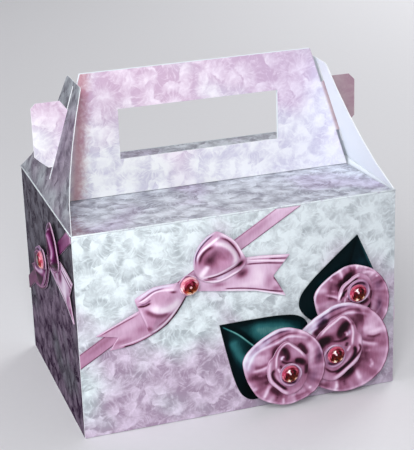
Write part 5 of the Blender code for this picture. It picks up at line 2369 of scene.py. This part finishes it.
# ---------------------------------------------------------------------------------------
# Studio


@dataclass(frozen=True)
class Lamp:
    """A soft square lamp that faces the box: its direction, distance, side length and watts."""

    word: str
    way: Triple
    distance: float
    size: float
    power: float

    def hang(self, target: Triple) -> None:
        """Hang the lamp.

        Args:
            target: the point that it faces and that its distance is told from.
        """
        data = bpy.data.lights.new(self.word + "_lamp", "AREA")
        data.shape = "SQUARE"
        data.size = self.size
        data.energy = self.power
        lamp = bpy.data.objects.new(self.word + "_lamp", data)
        bpy.context.scene.collection.objects.link(lamp)
        aim = Vector(target)
        lamp.location = aim + Vector(self.way).normalized() * self.distance
        lamp.rotation_euler = (lamp.location - aim).to_track_quat("Z", "Y").to_euler()


@dataclass
class Studio:
    """Pale floor, soft light and the camera at the photograph's angle."""

    azimuth: float = -17.77
    elevation: float = 20.67
    roll: float = -1.96
    target: Triple = (0.00251, 0.0, 0.08507)
    distance: float = 0.81609
    lens: float = 115.89
    sensor: float = 36.0
    view_end: float = 50.0
    floor_reach: float = 6.0
    floor_drop: float = 0.0004
    floor_paper: PlainCard = FLOOR_PAPER
    world_colour: Colour = shown(250, 250, 252)
    world_strength: float = 0.24
    seen_colour: Colour = shown(232, 232, 236)
    lamps: tuple[Lamp, ...] = (
        Lamp("key", (-0.30, -0.74, 0.60), 1.6, 0.6, 16.6),
        Lamp("fill", (0.75, 0.65, 0.45), 1.6, 0.8, 10.0),
        Lamp("side", (-0.85, -0.30, 0.30), 1.6, 0.8, 10.0),
    )

    def build(self) -> None:
        """Make the floor, the lamps, the world and the camera."""
        self.floor()
        for lamp in self.lamps:
            lamp.hang(self.target)
        self.world()
        self.camera()
        bpy.context.scene.view_settings.view_transform = "Standard"
        LOG.info("studio")

    def floor(self) -> None:
        """Lay a plain pale floor just under the box."""
        reach = self.floor_reach
        mesh = bpy.data.meshes.new("floor")
        corners = [(-reach, -reach), (reach, -reach), (reach, reach), (-reach, reach)]
        mesh.from_pydata([(x, y, -self.floor_drop) for x, y in corners], [], [(0, 1, 2, 3)])
        mesh.materials.append(self.floor_paper.make())
        floor = bpy.data.objects.new("floor", mesh)
        bpy.context.scene.collection.objects.link(floor)

    def world(self) -> None:
        """Light the world evenly, and show it pale to the camera and in gloss and glass."""
        world = bpy.data.worlds.new("studio_world")
        bpy.context.scene.world = world
        world.use_nodes = True
        tree = world.node_tree
        tree.nodes.clear()
        output = tree.nodes.new("ShaderNodeOutputWorld")
        mixer = tree.nodes.new("ShaderNodeMixShader")
        ray = tree.nodes.new("ShaderNodeLightPath")
        light = tree.nodes.new("ShaderNodeBackground")
        light.inputs["Color"].default_value = self.world_colour
        light.inputs["Strength"].default_value = self.world_strength
        seen = tree.nodes.new("ShaderNodeBackground")
        seen.inputs["Color"].default_value = self.seen_colour
        seen.inputs["Strength"].default_value = 1.0
        seen_by = ray.outputs["Is Camera Ray"]
        for word in ("Is Glossy Ray", "Is Transmission Ray"):
            either = tree.nodes.new("ShaderNodeMath")
            either.operation = "MAXIMUM"
            tree.links.new(seen_by, either.inputs[0])
            tree.links.new(ray.outputs[word], either.inputs[1])
            seen_by = either.outputs[0]
        tree.links.new(seen_by, mixer.inputs["Fac"])
        tree.links.new(light.outputs[0], mixer.inputs[1])
        tree.links.new(seen.outputs[0], mixer.inputs[2])
        tree.links.new(mixer.outputs[0], output.inputs["Surface"])

    def camera(self) -> None:
        """Place the camera: its back axis comes from azimuth and elevation, then it rolls."""
        azimuth, elevation, roll = (math.radians(value) for value in (self.azimuth, self.elevation, self.roll))
        level = math.cos(elevation)
        back = Vector((math.sin(azimuth) * level, -math.cos(azimuth) * level, math.sin(elevation)))
        right = Vector(UP).cross(back).normalized()
        up = back.cross(right)
        rolled_right = right * math.cos(roll) + up * math.sin(roll)
        rolled_up = up * math.cos(roll) - right * math.sin(roll)
        data = bpy.data.cameras.new("camera")
        data.lens = self.lens
        data.sensor_width = self.sensor
        data.clip_end = self.view_end
        camera = bpy.data.objects.new("camera", data)
        bpy.context.scene.collection.objects.link(camera)
        turn = Matrix((rolled_right, rolled_up, back)).transposed().to_4x4()
        camera.matrix_world = Matrix.Translation(Vector(self.target) + back * self.distance) @ turn
        bpy.context.scene.camera = camera


# ---------------------------------------------------------------------------------------
# The whole

# Painted shade for the bows and their gems on both end walls.
END_WALL_PAINTED_SHADE = -0.42
TOP_LEAF_TIP: Pair = (0.0666, 0.0920)
LEFT_LEAF_TIP: Pair = (-0.0127, 0.0524)


def build_roses(finishes: Finishes) -> list[Piece]:
    """Make the two leaves, the three roses and the finish of the pads under them.

    Args:
        finishes: the shared finishes.

    Returns:
        The new pieces.
    """
    front = Face.of(Wall.FRONT)
    pieces = [
        Leaf("top_leaf", front, TOP_LEAF_TIP, -11.0, 0.86, TOP_LEAF_MARKS).build(finishes),
        Leaf("left_leaf", front, LEFT_LEAF_TIP, 51.3, 1.0, LEFT_LEAF_MARKS).build(finishes),
    ]
    roses = (
        Rose("rose_a", front, 168.0, True, 0.90, THIN_RIM_HIGHLIGHTS_AND_SHADOW, ROSE_A_RUFFLE, ROSE_A_PETALS),
        Rose("rose_b", front, -8.0, True, 1.05, RIM_HIGHLIGHTS_AND_SHADOW, ROSE_B_RUFFLE, ROSE_B_PETALS),
        Rose("rose_c", front, 0.0, False, 1.0, RIM_HIGHLIGHTS_AND_SHADOW, ROSE_C_RUFFLE, ROSE_C_PETALS),
    )
    for rose in roses:
        pieces += rose.build(finishes)
        dress(rose.word + "_pad", finishes.foam)
    return pieces


def main() -> None:
    """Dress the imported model, build the ornaments and set up the studio."""
    logging.basicConfig(level=logging.INFO, format="%(name)s: %(message)s")
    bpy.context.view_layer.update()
    CardBox().dress_all()
    lines = Creases().build_all()
    finishes = Finishes()
    ornaments = []
    for wall in Wall:
        ornaments += Bow(wall, shade=0.0 if wall is Wall.FRONT else END_WALL_PAINTED_SHADE).build(finishes)
    ornaments += build_roses(finishes)
    Studio().build()
    LOG.info("done: %d fold lines and %d pieces of ornament", len(lines), len(ornaments))


if __name__ == "__main__":
    main()
